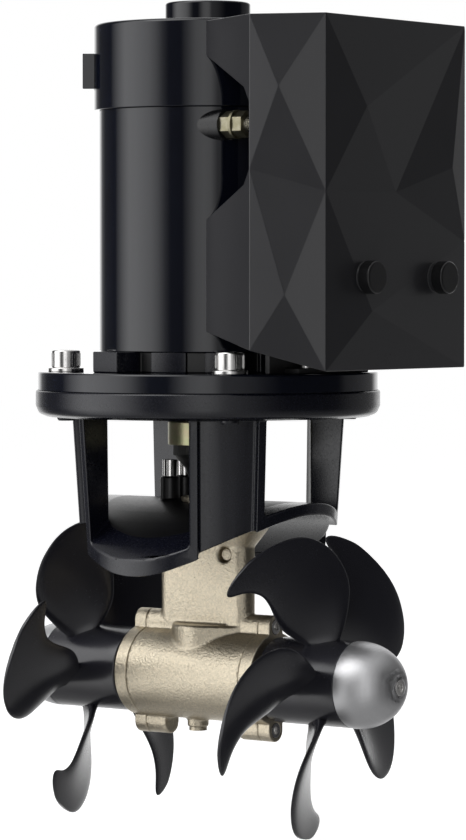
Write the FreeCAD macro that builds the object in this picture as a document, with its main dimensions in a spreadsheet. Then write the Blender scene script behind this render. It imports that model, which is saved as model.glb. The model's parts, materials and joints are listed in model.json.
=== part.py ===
"""Bow thruster with two five-blade propellers, for a 185 mm tunnel.

Millimetres, +Z up.  The origin is where the vertical motor axis (Z) crosses the
propeller axis, which is also the axis of the tunnel (X).  The unit hangs a gear leg into
the tunnel through its top wall: motor, flange and windowed support stand outside, and the
saddle under the support lies on the tunnel wall.
"""
import FreeCAD, Part
import Sketcher
import math
import os

from FreeCAD import Placement, Rotation, Vector

X_AXIS, Y_AXIS, Z_AXIS = Vector(1, 0, 0), Vector(0, 1, 0), Vector(0, 0, 1)
ORIGIN = Vector(0, 0, 0)

# ---------------------------------------------------------------- driving dimensions

SIZES = {
    # tunnel, saddle and windowed support
    "TunnelRadius": 92.5,
    "SaddleWall": 6.7,
    "SupportLowRadius": 70.6,
    "SupportTopRadius": 77.0,
    "SupportTopZ": 146.3,
    "SupportInnerRadius": 58.0,
    "SupportFlangeRadius": 97.1,
    "SupportFlangeThickness": 14.7,
    "SupportFlangeRound": 6.0,
    "WindowTopHalfWidth": 36.5,
    "WindowLowHalfWidth": 33.0,
    "LegPocketDepth": 4.6,
    "LegRimAngle": 4.0,
    "SupportBoreRadius": 30.0,
    # flange of the motor and its bolts
    "FlangeStep": 1.1,
    "MotorFlangeThickness": 10.5,
    "FlangeBoreRadius": 14.0,
    "FlangeBoltCircle": 161.0,
    "FlangeBoltRadius": 5.0,
    "FlangeBoltHeadRadius": 8.0,
    "FlangeBoltHeadHeight": 10.0,
    "FlangeBoltRunout": 2.4,
    "WasherRadius": 10.0,
    "WasherThickness": 2.0,
    # motor
    "MotorRadius": 61.2,
    "MotorWall": 4.0,
    "MotorLength": 134.8,
    "ShieldHeight": 11.5,
    "ShieldRadius": 60.5,
    "ShieldNotchDepth": 3.5,
    "ShieldNotchWidth": 10.5,
    "EarReach": 73.0,
    "EarHalfWidth": 11.0,
    "BrushCoverRadius": 64.1,
    "BrushCoverWall": 3.5,
    "BrushCoverHeight": 48.1,
    "BearingCapRadius": 24.0,
    "BearingCapHeight": 12.5,
    "MotorShaftRadius": 8.0,
    "MotorBearingRadius": 17.5,
    "MotorBearingWidth": 10.0,
    "ArmatureRadius": 50.5,
    "ArmatureLength": 80.0,
    "MagnetThickness": 5.0,
    "MagnetStart": 22.4,
    "MagnetClearance": 3.6,
    "CommutatorRadius": 24.0,
    "CommutatorLength": 18.0,
    "BrushSide": 9.0,
    "TerminalOffset": 44.0,
    "TerminalDrop": 10.3,
    "TerminalRadius": 4.0,
    "TerminalReach": 68.0,
    "InsulatorRadius": 8.5,
    "NutAcrossFlats": 13.0,
    "NutHeight": 6.5,
    # coupling
    "CouplingRadius": 22.6,
    "CouplingHeight": 13.0,
    "CouplingNeckRadius": 13.0,
    "SpiderHeight": 6.0,
    "LowerCouplingRadius": 19.0,
    "LowerCouplingHeight": 14.0,
    "CouplingTopZ": 143.0,
    # gear leg
    "HousingRadius": 25.8,
    "HousingHalfLength": 39.2,
    "HousingBoreRadius": 21.0,
    "StrutHalfLength": 31.0,
    "StrutHalfWidth": 7.0,
    "StrutFlareHalfLength": 40.0,
    "StrutFlareHalfWidth": 13.0,
    "StrutFlareStartZ": 73.0,
    "StrutFlareEndZ": 84.0,
    "GearBossRadius": 20.5,
    "GearBossTopZ": 29.0,
    "LegSpigotRadius": 15.0,
    "LegSpigotRise": 8.5,
    "PinionRoomRadius": 12.5,
    "NeedleRadius": 9.0,
    "NeedleLength": 6.0,
    "LegBearingRadius": 11.0,
    "LegBearingWidth": 8.0,
    "LegSealWidth": 3.0,
    "DrainOffset": -7.0,
    "DrainBossRadius": 6.0,
    "DrainBossRise": 4.5,
    "OilPlugRadius": 5.0,
    "OilScrewRadius": 3.0,
    "DriveShaftRadius": 4.6,
    "LobeRadius": 6.5,
    "LobeHeight": 29.0,
    "LobeLength": 14.0,
    "CapThickness": 8.2,
    "CapSpigotLength": 9.0,
    "ShaftBearingRadius": 16.0,
    "ShaftSealRadius": 13.0,
    "ShaftSealWidth": 6.4,
    "PlugRadius": 4.3,
    "PlugOffset": 16.4,
    "PlugZ": 68.6,
    "PlugHoleDepth": 4.0,
    "PlugSink": 2.2,
    "CapScrewRadius": 2.5,
    "CapScrewHeadRadius": 4.2,
    "CapScrewHeadHeight": 4.0,
    "SaddleBoltRadius": 2.5,
    "SaddleBoltX": 21.5,
    "SaddleBoltY": 7.0,
    "SaddleBoltHeadRadius": 4.35,
    "SaddleBoltHeadHeight": 9.5,
    "SaddleBoltDepth": 14.5,
    "SaddleBossRadius": 5.6,
    "SaddleBossRise": 19.2,
    # gears
    "GearModule": 1.5,
    "GearFace": 6.0,
    # propeller line
    "PropShaftRadius": 7.5,
    "PropEndRadius": 6.0,
    "HubStart": 49.5,
    "HubLength": 52.5,
    "HubRadius": 24.0,
    "HubCounterboreRadius": 12.0,
    "HubCounterboreDepth": 16.0,
    "PropellerRadius": 88.5,
    "PropellerPitch": 190.0,
    "BladeRootThickness": 4.6,
    "BladeTipThickness": 2.2,
    "DrivePinRadius": 2.0,
    "DrivePinHalfLength": 13.0,
    "AnodeRadius": 24.1,
    "AnodeLength": 29.2,
    "AnodeSkirt": 3.0,
    "AnodeScrewRadius": 2.5,
    "PropNutAcrossFlats": 19.0,
    "PropNutHeight": 10.0,
    # relay box
    "CoverFaceX": 128.0,
    "CoverHalfWidth": 68.0,
    "CoverTopZ": 364.0,
    "CoverBottomZ": 173.9,
    "CoverFlareX": 89.3,
    "CoverFlareHalfWidth": 83.7,
    "CoverFlareRise": 11.0,
    "CoverWingX": 37.0,
    "CoverWingHalfWidth": 52.3,
    "CoverWingRise": 20.5,
    "CoverWall": 3.0,
    "FrontFacetHeight": 4.5,
    "SideFacetHeight": 3.5,
    "KnobRadius": 9.0,
    "KnobLength": 7.0,
    "KnobHalfSpacing": 35.5,
    "KnobZ": 224.0,
    "CoverStudRadius": 3.0,
    "BracketX": 74.0,
    "BracketThickness": 3.0,
    "BracketHalfWidth": 48.0,
    "BracketDrop": 14.0,
    "BracketScrewRadius": 4.0,
    "BracketScrewHeight": 3.0,
    "BracketScrewOffset": 20.0,
    "ContactorRise": 62.0,
    "ContactorDepth": 14.0,
    "ContactorHalfWidth": 42.0,
    "ContactorUp": 34.0,
    "ContactorDown": 28.0,
    "CoilRadius": 17.0,
    "CoilLength": 22.0,
    "CoilSpacing": 22.0,
    "CoilCapRadius": 14.0,
    "CoilCapThickness": 2.0,
    "RelayStudRadius": 3.0,
    "RelayStudLength": 16.0,
    "RelayStudOffset": 38.0,
    # fits
    "RunningGap": 0.05,
    "FitGap": 0.1,
}

BLADES = 5
EAR_TURN = 75
PINION_TEETH = 12
CROWN_TEETH = 24

doc = FreeCAD.newDocument("bow_thruster")
sheet = doc.addObject("Spreadsheet::Sheet", "Sizes")
for row, (alias, number) in enumerate(SIZES.items(), start=1):
    sheet.set(f"A{row}", alias)
    sheet.set(f"B{row}", str(number))
    sheet.setAlias(f"B{row}", alias)
doc.recompute()


class Size:
    """A length that keeps its spreadsheet formula beside its present value."""

    def __init__(self, text, value):
        self.text, self.value = text, value

    @staticmethod
    def of(other):
        return other if isinstance(other, Size) else Size(repr(float(other)), float(other))

    def __add__(self, other):
        other = Size.of(other)
        return Size(f"({self.text} + {other.text})", self.value + other.value)

    def __sub__(self, other):
        other = Size.of(other)
        return Size(f"({self.text} - {other.text})", self.value - other.value)

    def __mul__(self, other):
        other = Size.of(other)
        return Size(f"({self.text} * {other.text})", self.value * other.value)

    def __truediv__(self, other):
        other = Size.of(other)
        return Size(f"({self.text} / {other.text})", self.value / other.value)

    def __radd__(self, other):
        return Size.of(other) + self

    def __rsub__(self, other):
        return Size.of(other) - self

    def __rmul__(self, other):
        return Size.of(other) * self

    def __neg__(self):
        return Size.of(0) - self

    def __float__(self):
        return self.value


class Sheet:
    """Reads S.Name as a Size bound to the cell of that name."""

    def __getattr__(self, alias):
        return Size(f"Sizes.{alias}", float(sheet.get(alias)))


S = Sheet()

# heights of the stack, from the support's flange upwards
SUPPORT_TOP = S.SupportTopZ + S.SupportFlangeThickness
FLANGE_TOP = SUPPORT_TOP + S.MotorFlangeThickness
SHIELD_TOP = FLANGE_TOP + S.ShieldHeight
BODY_TOP = SHIELD_TOP + S.MotorLength
BAND_TOP = BODY_TOP + S.BrushCoverHeight
CAP_FACE = S.HousingHalfLength + S.CapThickness
HUB_END = S.HubStart + S.HubLength
MOTOR_FLANGE_RADIUS = S.SupportFlangeRadius - S.FlangeStep
LEG_SPIGOT_TOP = S.TunnelRadius + S.LegSpigotRise
SADDLE_BOSS_TOP = S.TunnelRadius + S.SaddleBossRise
KNOB_START = S.CoverFaceX + S.FrontFacetHeight + S.FitGap
SADDLE_TOP_RADIUS = S.TunnelRadius + S.SaddleWall

# ---------------------------------------------------------------- modelling helpers

parts = []


def keep(obj, label):
    """Name a finished sub-part; its label is its file name."""
    obj.Label = label
    parts.append(obj)
    return obj


def bind(obj, prop, value):
    obj.setExpression(prop, Size.of(value).text)


def place(obj, x=0, y=0, z=0, rotation=None):
    """Set a placement whose coordinates follow the sheet where they are sizes."""
    obj.Placement = Placement(Vector(float(x), float(y), float(z)), rotation or Rotation())
    for letter, value in zip("xyz", (x, y, z)):
        if isinstance(value, Size):
            bind(obj, f"Placement.Base.{letter}", value)
    return obj


ALONG_X = Rotation(Y_AXIS, 90)


def rod(radius, start, end, axis="Z", at=(0, 0)):
    """A cylinder from start to end along Z (at = x, y) or along X (at = y, z)."""
    obj = doc.addObject("Part::Cylinder", "rod")
    bind(obj, "Radius", radius)
    bind(obj, "Height", Size.of(end) - start)
    if axis == "Z":
        return place(obj, at[0], at[1], start)
    return place(obj, start, at[0], at[1], ALONG_X)


def tube(outer, inner, start, end, axis="Z"):
    return cut(rod(outer, start, end, axis), rod(inner, start - 1, end + 1, axis))


def cone(low_radius, top_radius, start, end):
    obj = doc.addObject("Part::Cone", "cone")
    bind(obj, "Radius1", low_radius)
    bind(obj, "Radius2", top_radius)
    bind(obj, "Height", Size.of(end) - start)
    return place(obj, 0, 0, start)


def block(x0, x1, y0, y1, z0, z1):
    obj = doc.addObject("Part::Box", "block")
    bind(obj, "Length", Size.of(x1) - x0)
    bind(obj, "Width", Size.of(y1) - y0)
    bind(obj, "Height", Size.of(z1) - z0)
    return place(obj, x0, y0, z0)


def fuse(*shapes):
    obj = doc.addObject("Part::MultiFuse", "fuse")
    obj.Shapes = list(shapes)
    obj.Refine = True
    return obj


def cut(base, *tools):
    obj = doc.addObject("Part::Cut", "cut")
    obj.Base = base
    obj.Tool = tools[0] if len(tools) == 1 else fuse(*tools)
    return obj


def common(first, second):
    obj = doc.addObject("Part::Common", "common")
    obj.Base, obj.Tool = first, second
    return obj


def rounded(base, radius, wanted):
    """Fillet the edges of a shape for which wanted(edge) is true."""
    doc.recompute()
    obj = doc.addObject("Part::Fillet", "rounded")
    obj.Base = base
    value = float(radius)
    picked = [i for i, edge in enumerate(base.Shape.Edges, start=1) if wanted(edge)]
    obj.Edges = [(i, value, value) for i in picked]
    return obj


def solid(shape, name="solid"):
    """A shape made by code where neither a sketch nor a primitive fits."""
    obj = doc.addObject("Part::Feature", name)
    obj.Shape = shape
    return obj


def group(shapes, label):
    """Several separate solids in one node, such as like fasteners."""
    obj = doc.addObject("Part::Compound", label)
    obj.Links = list(shapes)
    return keep(obj, label)


def copies(source, placements, label):
    """Copies of one shape at several places, as one node."""
    doc.recompute()
    shapes = []
    for where in placements:
        shape = source.Shape.copy()
        shape.Placement = where.multiply(shape.Placement)
        shapes.append(shape)
    return keep(solid(Part.makeCompound(shapes), label), label)


def moved(source, where):
    """One copy of a shape at another place."""
    doc.recompute()
    shape = source.Shape.copy()
    shape.Placement = where.multiply(shape.Placement)
    return solid(shape, "moved")


def turned_about(axis, degrees):
    return Placement(ORIGIN, Rotation(axis, degrees))


def shifted(x=0, y=0, z=0):
    return Placement(Vector(float(x), float(y), float(z)), Rotation())


OTHER_SIDE = turned_about(Z_AXIS, 180)
BOTH_SIDES = (Placement(), OTHER_SIDE)


def new_body(name):
    return doc.addObject("PartDesign::Body", name)


def new_sketch(body, role, offset=None):
    plane = [feature for feature in body.Origin.OriginFeatures if feature.Role == role][0]
    sketch = body.newObject("Sketcher::SketchObject", "sketch")
    sketch.AttachmentSupport = [(plane, "")]
    sketch.MapMode = "FlatFace"
    if offset is not None:
        bind(sketch, "AttachmentOffset.Base.z", offset)
    return sketch


def bind_distance(sketch, kind, index, corner, value):
    """Tie one coordinate of a point of the sketch to a size."""
    value = Size.of(value)
    rule = Sketcher.Constraint(kind, -1, 1, index, corner, value.value)
    number = sketch.addConstraint(rule)
    sketch.setExpression(f"Constraints[{number}]", value.text)


def bind_point(sketch, index, corner, point):
    bind_distance(sketch, "DistanceX", index, corner, point[0])
    bind_distance(sketch, "DistanceY", index, corner, point[1])


def draw_polygon(sketch, corners):
    """A closed outline whose corners are pairs of sizes."""
    points = [Vector(float(x), float(y), 0) for x, y in corners]
    first = sketch.GeometryCount
    for index, start in enumerate(points):
        end = points[(index + 1) % len(points)]
        sketch.addGeometry(Part.LineSegment(start, end), False)
    for index in range(len(points)):
        following = (index + 1) % len(points)
        ends = (first + index, 2, first + following, 1)
        sketch.addConstraint(Sketcher.Constraint("Coincident", *ends))
        bind_point(sketch, first + index, 1, corners[index])


def draw_circle(sketch, x, y, radius):
    middle = Vector(float(x), float(y), 0)
    index = sketch.addGeometry(Part.Circle(middle, Z_AXIS, float(radius)), False)
    bind_point(sketch, index, 3, (x, y))
    number = sketch.addConstraint(Sketcher.Constraint("Radius", index, float(radius)))
    sketch.setExpression(f"Constraints[{number}]", Size.of(radius).text)


def draw_slot(sketch, half_length, half_width):
    """A stadium round the origin, long side along the sketch's first axis."""
    reach, wide = half_length - half_width, half_width
    r, w = float(reach), float(wide)
    right = Part.Circle(Vector(r, 0, 0), Z_AXIS, w)
    left = Part.Circle(Vector(-r, 0, 0), Z_AXIS, w)
    quarter = math.pi / 2
    low = sketch.addGeometry(Part.LineSegment(Vector(-r, -w, 0), Vector(r, -w, 0)), False)
    end = sketch.addGeometry(Part.ArcOfCircle(right, -quarter, quarter), False)
    top = sketch.addGeometry(Part.LineSegment(Vector(r, w, 0), Vector(-r, w, 0)), False)
    start = sketch.addGeometry(Part.ArcOfCircle(left, quarter, 3 * quarter), False)
    for a, b in ((low, end), (end, top), (top, start), (start, low)):
        sketch.addConstraint(Sketcher.Constraint("Coincident", a, 2, b, 1))
    bind_point(sketch, low, 1, (-reach, -wide))
    bind_point(sketch, low, 2, (reach, -wide))
    bind_point(sketch, top, 1, (reach, wide))
    bind_point(sketch, top, 2, (-reach, wide))
    bind_distance(sketch, "DistanceX", end, 3, reach)
    bind_distance(sketch, "DistanceX", start, 3, -reach)


def turned(name, profile, axis="Z"):
    """A body turned about Z or X; the profile's corners are (along, radius) pairs."""
    body = new_body(name)
    if axis == "Z":
        sketch = new_sketch(body, "XZ_Plane")
        draw_polygon(sketch, [(radius, along) for along, radius in profile])
    else:
        sketch = new_sketch(body, "XY_Plane")
        draw_polygon(sketch, profile)
    feature = body.newObject("PartDesign::Revolution", "turn")
    feature.Profile = sketch
    feature.ReferenceAxis = (sketch, ["V_Axis" if axis == "Z" else "H_Axis"])
    feature.Angle = 360
    body.Tip = feature
    return body


def padded(name, role, corners, length, start=None, both_ways=False):
    """A polygon's pad along its plane's normal."""
    body = new_body(name)
    sketch = new_sketch(body, role, start)
    draw_polygon(sketch, corners)
    feature = body.newObject("PartDesign::Pad", "pad")
    feature.Profile = sketch
    bind(feature, "Length", length)
    feature.Midplane = both_ways
    body.Tip = feature
    return body


def ring_pattern(body, feature, count):
    """Repeat a feature of a body evenly about Z."""
    pattern = body.newObject("PartDesign::PolarPattern", "ring")
    pattern.Originals = [feature]
    pattern.Axis = (body.Origin.OriginFeatures[2], [""])
    pattern.Angle = 360
    pattern.Occurrences = count
    body.Tip = pattern
    return pattern


def hexagon(across_flats, start, end, axis="Z", at=(0, 0)):
    """A hexagonal prism from start to end along Z or X."""
    obj = doc.addObject("Part::Prism", "hexagon")
    obj.Polygon = 6
    bind(obj, "Circumradius", across_flats / math.sqrt(3))
    bind(obj, "Height", Size.of(end) - start)
    if axis == "Z":
        return place(obj, at[0], at[1], start)
    return place(obj, start, at[0], at[1], ALONG_X)


def near(value, target, tolerance=0.01):
    return abs(float(value) - float(target)) < tolerance


# ---------------------------------------------------------------- motor


def motor_housing():
    """Plain steel tube of the motor, with two holes for the terminals."""
    body = turned("housing_tube", [
        (SHIELD_TOP, S.MotorRadius - S.MotorWall), (SHIELD_TOP, S.MotorRadius),
        (BODY_TOP, S.MotorRadius), (BODY_TOP, S.MotorRadius - S.MotorWall)])
    holes = [rod(S.InsulatorRadius, S.TerminalOffset / 2, S.MotorRadius, "X", at)
             for at in terminal_places()]
    return keep(cut(body, *holes), "motor_housing")


def terminal_places():
    height = BODY_TOP - S.TerminalDrop
    return ((-S.TerminalOffset, height), (S.TerminalOffset, height))


def drive_end_shield():
    """Lower end of the motor: notched rim, two mounting ears and the bearing seat."""
    body = new_body("shield")
    sketch = new_sketch(body, "XY_Plane", FLANGE_TOP)
    draw_circle(sketch, 0, 0, S.ShieldRadius)
    pad = body.newObject("PartDesign::Pad", "disc")
    pad.Profile = sketch
    bind(pad, "Length", S.ShieldHeight)
    notch_sketch = new_sketch(body, "XY_Plane", FLANGE_TOP)
    half = S.ShieldNotchWidth / 2
    inner = S.ShieldRadius - S.ShieldNotchDepth
    outer = S.ShieldRadius + S.ShieldNotchDepth
    draw_polygon(notch_sketch, [(inner, -half), (outer, -half), (outer, half), (inner, half)])
    notch = body.newObject("PartDesign::Pocket", "notch")
    notch.Profile = notch_sketch
    bind(notch, "Length", S.ShieldHeight)
    notch.Reversed = True
    ring_pattern(body, notch, 12)
    ears = moved(block(-S.EarReach, S.EarReach, -S.EarHalfWidth, S.EarHalfWidth,
                       FLANGE_TOP, SHIELD_TOP), turned_about(Z_AXIS, EAR_TURN))
    seat = rod(S.MotorBearingRadius, FLANGE_TOP - 1, SHIELD_TOP + 1)
    return keep(cut(fuse(body, ears), seat), "drive_end_shield")


def motor_field():
    """Four curved magnets on the inner wall of the housing."""
    outer = S.MotorRadius - S.MotorWall
    low = SHIELD_TOP + S.MagnetStart
    top = BODY_TOP - S.TerminalDrop - S.InsulatorRadius - S.MagnetClearance
    ring = tube(outer, outer - S.MagnetThickness, low, top)
    gap = S.MagnetThickness * 2
    gap_x = block(-outer, outer, -gap, gap, low, top)
    gap_y = block(-gap, gap, -outer, outer, low, top)
    return keep(cut(ring, gap_x, gap_y), "field_magnets")


def armature():
    """Slotted iron core, copper end windings and commutator on the motor shaft."""
    middle = (SHIELD_TOP + BODY_TOP) / 2
    low, top = middle - S.ArmatureLength / 2, middle + S.ArmatureLength / 2
    core = new_body("core")
    sketch = new_sketch(core, "XY_Plane", low)
    draw_circle(sketch, 0, 0, S.ArmatureRadius)
    draw_circle(sketch, 0, 0, S.MotorShaftRadius)
    pad = core.newObject("PartDesign::Pad", "stack")
    pad.Profile = sketch
    bind(pad, "Length", S.ArmatureLength)
    slot_sketch = new_sketch(core, "XY_Plane", low)
    inner, outer = S.ArmatureRadius * 0.7, S.ArmatureRadius + 1
    draw_polygon(slot_sketch, [(inner, -3), (outer, -3), (outer, 3), (inner, 3)])
    slot = core.newObject("PartDesign::Pocket", "slot")
    slot.Profile = slot_sketch
    bind(slot, "Length", S.ArmatureLength)
    slot.Reversed = True
    ring_pattern(core, slot, 12)
    keep(core, "armature_core")
    inside, outside = S.MotorShaftRadius * 1.5, S.ArmatureRadius * 0.84
    coils = []
    for base, tip in ((low, low - 12), (top, top + 7)):
        coils.append(turned("end_winding", [
            (base, inside), (base, outside), (tip, outside - 4), (tip, inside)]))
    group(coils, "armature_windings")
    start = BODY_TOP - 1.5
    keep(tube(S.CommutatorRadius, S.MotorShaftRadius, start, start + S.CommutatorLength),
         "commutator")
    keep(turned("motor_shaft", [
        (S.CouplingTopZ - S.CouplingHeight, 0),
        (S.CouplingTopZ - S.CouplingHeight, S.MotorShaftRadius),
        (BAND_TOP - 6, S.MotorShaftRadius), (BAND_TOP - 5, S.MotorShaftRadius - 1),
        (BAND_TOP - 5, 0)]), "motor_shaft")


def brush_gear():
    """Insulating plate with four boxes, each holding one carbon brush."""
    low = BODY_TOP + 18.5
    inner = S.BrushCoverRadius - S.BrushCoverWall
    keep(tube(inner, S.CommutatorRadius + 6, low, low + 3), "brush_plate")
    half, wall = S.BrushSide / 2, 1.5
    start, end = S.CommutatorRadius + 3, S.CommutatorRadius + 22
    box = block(start, end, -half - wall, half + wall, low - S.BrushSide - 2 * wall, low)
    hollow = block(start - 1, end + 1, -half, half, low - S.BrushSide - wall, low - wall)
    holder = cut(box, hollow)
    quarters = [turned_about(Z_AXIS, 45 + 90 * i) for i in range(4)]
    copies(holder, quarters, "brush_holders")
    tip = S.CommutatorRadius + S.RunningGap
    brush = block(tip, end - 3, -half, half, low - S.BrushSide - wall, low - wall)
    copies(brush, quarters, "carbon_brushes")


def brush_cover():
    """Deep cap over the brush gear, closed on top round the bearing boss."""
    outer, inner = S.BrushCoverRadius, S.BrushCoverRadius - S.BrushCoverWall
    boss_low = BAND_TOP - 20
    seat_top = BAND_TOP - 4
    keep(turned("cover_shell", [
        (BODY_TOP, inner), (BODY_TOP, outer), (BAND_TOP - 1, outer), (BAND_TOP, outer - 1),
        (BAND_TOP, 0), (seat_top, 0), (seat_top, S.MotorBearingRadius),
        (boss_low, S.MotorBearingRadius), (boss_low, S.BearingCapRadius),
        (seat_top, S.BearingCapRadius), (seat_top, inner)]), "brush_cover")
    keep(turned("cap", [
        (BAND_TOP, 0), (BAND_TOP, S.BearingCapRadius),
        (BAND_TOP + S.BearingCapHeight - 1.5, S.BearingCapRadius),
        (BAND_TOP + S.BearingCapHeight, S.BearingCapRadius - 1.5),
        (BAND_TOP + S.BearingCapHeight, 0)]), "bearing_cap")
    clasp = block(S.BrushCoverRadius - 3, S.BrushCoverRadius + 6.2, -10, 10,
                  BODY_TOP + 11.9, BODY_TOP + 31.6)
    base = cut(clasp, rod(S.BrushCoverRadius, BODY_TOP, BAND_TOP))
    copies(base, [turned_about(Z_AXIS, -143)], "band_clasp")


def motor_bearings():
    """Ball bearings of the motor shaft, each drawn as one ring."""
    inner = S.MotorShaftRadius + S.RunningGap
    low = FLANGE_TOP
    top = BAND_TOP - 4 - S.MotorBearingWidth
    rings = [tube(S.MotorBearingRadius, inner, start, start + S.MotorBearingWidth)
             for start in (low, top)]
    group(rings, "motor_bearings")


def terminals():
    """Two threaded studs that lead the current into the motor."""
    wall = S.TerminalOffset
    studs, bushes, nuts, rings = [], [], [], []
    for at in terminal_places():
        studs.append(rod(S.TerminalRadius, wall - 14, S.TerminalReach, "X", at))
        bush = rod(S.InsulatorRadius, wall - 13, wall + 1, "X", at)
        bushes.append(cut(bush, rod(S.TerminalRadius, wall - 14, wall + 2, "X", at)))
        start = wall + 1
        for turn in range(2):
            nut = hexagon(S.NutAcrossFlats, start, start + S.NutHeight, "X", at)
            hole = rod(S.TerminalRadius, start - 1, start + S.NutHeight + 1, "X", at)
            nuts.append(cut(nut, hole))
            start = start + S.NutHeight + 1.6
        ring_start = wall + 1 + S.NutHeight
        ring = rod(S.TerminalRadius * 2, ring_start, ring_start + 1.6, "X", at)
        hole = rod(S.TerminalRadius, ring_start - 1, ring_start + 3, "X", at)
        rings.append(cut(ring, hole))
    group(studs, "terminal_studs")
    group(bushes, "terminal_insulators")
    group(nuts, "terminal_nuts")
    group(rings, "terminal_washers")


# ---------------------------------------------------------------- flange and support


def bolt_spots():
    """The four flange bolts, at 45 degrees between the support's windows."""
    radius = S.FlangeBoltCircle / 2 / math.sqrt(2)
    return [(a * radius, b * radius) for a in (1, -1) for b in (1, -1)]


def motor_flange():
    edge = 0.8
    disc = turned("flange_disc", [
        (SUPPORT_TOP, S.FlangeBoreRadius), (SUPPORT_TOP, MOTOR_FLANGE_RADIUS),
        (FLANGE_TOP - edge, MOTOR_FLANGE_RADIUS), (FLANGE_TOP, MOTOR_FLANGE_RADIUS - edge),
        (FLANGE_TOP, S.FlangeBoreRadius)])
    holes = [rod(S.FlangeBoltRadius + S.FitGap, SUPPORT_TOP - 1, FLANGE_TOP + 1, "Z", spot)
             for spot in bolt_spots()]
    keep(cut(disc, *holes), "motor_flange")
    bolts, washers = [], []
    for spot in bolt_spots():
        head_low = FLANGE_TOP + S.WasherThickness
        head_top = head_low + S.FlangeBoltHeadHeight
        shank = rod(S.FlangeBoltRadius, S.SupportTopZ - S.FlangeBoltRunout, head_low, "Z", spot)
        head = rod(S.FlangeBoltHeadRadius, head_low, head_top, "Z", spot)
        socket = hexagon(S.FlangeBoltHeadRadius, head_top - 5, head_top + 1, "Z", spot)
        bolts.append(cut(fuse(shank, head), socket))
        washer = rod(S.WasherRadius, FLANGE_TOP, head_low, "Z", spot)
        hole = rod(S.FlangeBoltRadius, FLANGE_TOP - 1, head_low + 1, "Z", spot)
        washers.append(cut(washer, hole))
    group(bolts, "flange_bolts")
    group(washers, "flange_washers")


def window(role):
    """A tapered opening right through the support, ending on the saddle's top."""
    low = S.TunnelRadius / 2
    top = S.SupportTopZ
    corners = [(-S.WindowLowHalfWidth, low), (S.WindowLowHalfWidth, low),
               (S.WindowTopHalfWidth, top), (-S.WindowTopHalfWidth, top)]
    opening = padded("window", role, corners, S.SupportFlangeRadius * 2, both_ways=True)
    saddle = rod(SADDLE_TOP_RADIUS, -S.SupportFlangeRadius * 1.2,
                 S.SupportFlangeRadius * 1.2, "X")
    return opening, saddle


def support_bell():
    """Cast support: round flange, four legs with hollow backs, saddle on the tunnel."""
    low = S.TunnelRadius / 2
    shell = cone(S.SupportLowRadius, S.SupportTopRadius, low, S.SupportTopZ)
    saddle = rod(SADDLE_TOP_RADIUS, -S.SupportFlangeRadius, S.SupportFlangeRadius, "X")
    hollow = cut(rod(S.SupportInnerRadius, low - 1, S.SupportTopZ + 1), saddle)
    windows = []
    for role in ("YZ_Plane", "XZ_Plane"):
        opening, sill = window(role)
        windows.append(cut(opening, sill))
    rim = S.SupportFlangeRound
    flange = turned("support_flange", [
        (S.SupportTopZ, 0), (S.SupportTopZ, S.SupportFlangeRadius - rim),
        (S.SupportTopZ + rim * 0.29, S.SupportFlangeRadius - rim * 0.29),
        (S.SupportTopZ + rim, S.SupportFlangeRadius),
        (SUPPORT_TOP, S.SupportFlangeRadius), (SUPPORT_TOP, 0)])
    bosses = [rod(S.SaddleBossRadius, S.TunnelRadius - 7.5, SADDLE_BOSS_TOP, "Z", spot)
              for spot in saddle_spots()]
    pockets = [leg_pocket(angle) for angle in (45, 135, 225, 315)]
    tunnel = rod(S.TunnelRadius, -S.SupportFlangeRadius, S.SupportFlangeRadius, "X")
    cast = fuse(cut(shell, hollow, *windows), flange, *bosses)
    bore = rod(S.SupportBoreRadius, S.SupportTopZ - 1, SUPPORT_TOP + 1)
    neck = rod(S.LegSpigotRadius + S.FitGap, low, SADDLE_TOP_RADIUS + 1)
    bolt_holes = [rod(S.FlangeBoltRadius, S.SupportTopZ - 1, SUPPORT_TOP + 1, "Z", spot)
                  for spot in bolt_spots()]
    screw_holes = [rod(S.SaddleBoltRadius, low, SADDLE_BOSS_TOP + 1, "Z", spot)
                   for spot in saddle_spots()]
    return keep(cut(cast, tunnel, bore, neck, *pockets, *bolt_holes, *screw_holes),
                "support_bell")


def leg_pocket(middle):
    """Outward hollow of one leg: a ring sector between its two rims."""
    at_rim = math.degrees(math.asin(float(S.WindowTopHalfWidth / S.SupportTopRadius)))
    half = 45 - at_rim - float(S.LegRimAngle)
    doc.recompute()
    low, top = float(S.TunnelRadius / 2), float(S.SupportTopZ)
    outer = Part.makeCylinder(float(S.SupportFlangeRadius), top - low, Vector(0, 0, low),
                              Z_AXIS, 2 * half)
    floor = float(S.SupportTopRadius - S.LegPocketDepth)
    drop = float(S.SupportTopRadius - S.SupportLowRadius)
    inner = Part.makeCone(floor - drop, floor, top - low, Vector(0, 0, low), Z_AXIS)
    pocket = outer.cut(inner)
    pocket.rotate(ORIGIN, Z_AXIS, middle - half)
    return solid(pocket, "leg_pocket")


def saddle_spots():
    return [(a * S.SaddleBoltX, b * S.SaddleBoltY) for a in (1, -1) for b in (1, -1)]


def saddle_bolts():
    bolts = []
    for spot in saddle_spots():
        top = SADDLE_BOSS_TOP + S.SaddleBoltHeadHeight
        shank = rod(S.SaddleBoltRadius, S.TunnelRadius - S.SaddleBoltDepth, SADDLE_BOSS_TOP,
                    "Z", spot)
        head = rod(S.SaddleBoltHeadRadius, SADDLE_BOSS_TOP, top, "Z", spot)
        socket = hexagon(S.SaddleBoltRadius * 2, top - S.SaddleBoltRadius, top + 1, "Z", spot)
        bolts.append(cut(fuse(shank, head), socket))
    group(bolts, "saddle_bolts")


# ---------------------------------------------------------------- coupling and drive shaft


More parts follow.
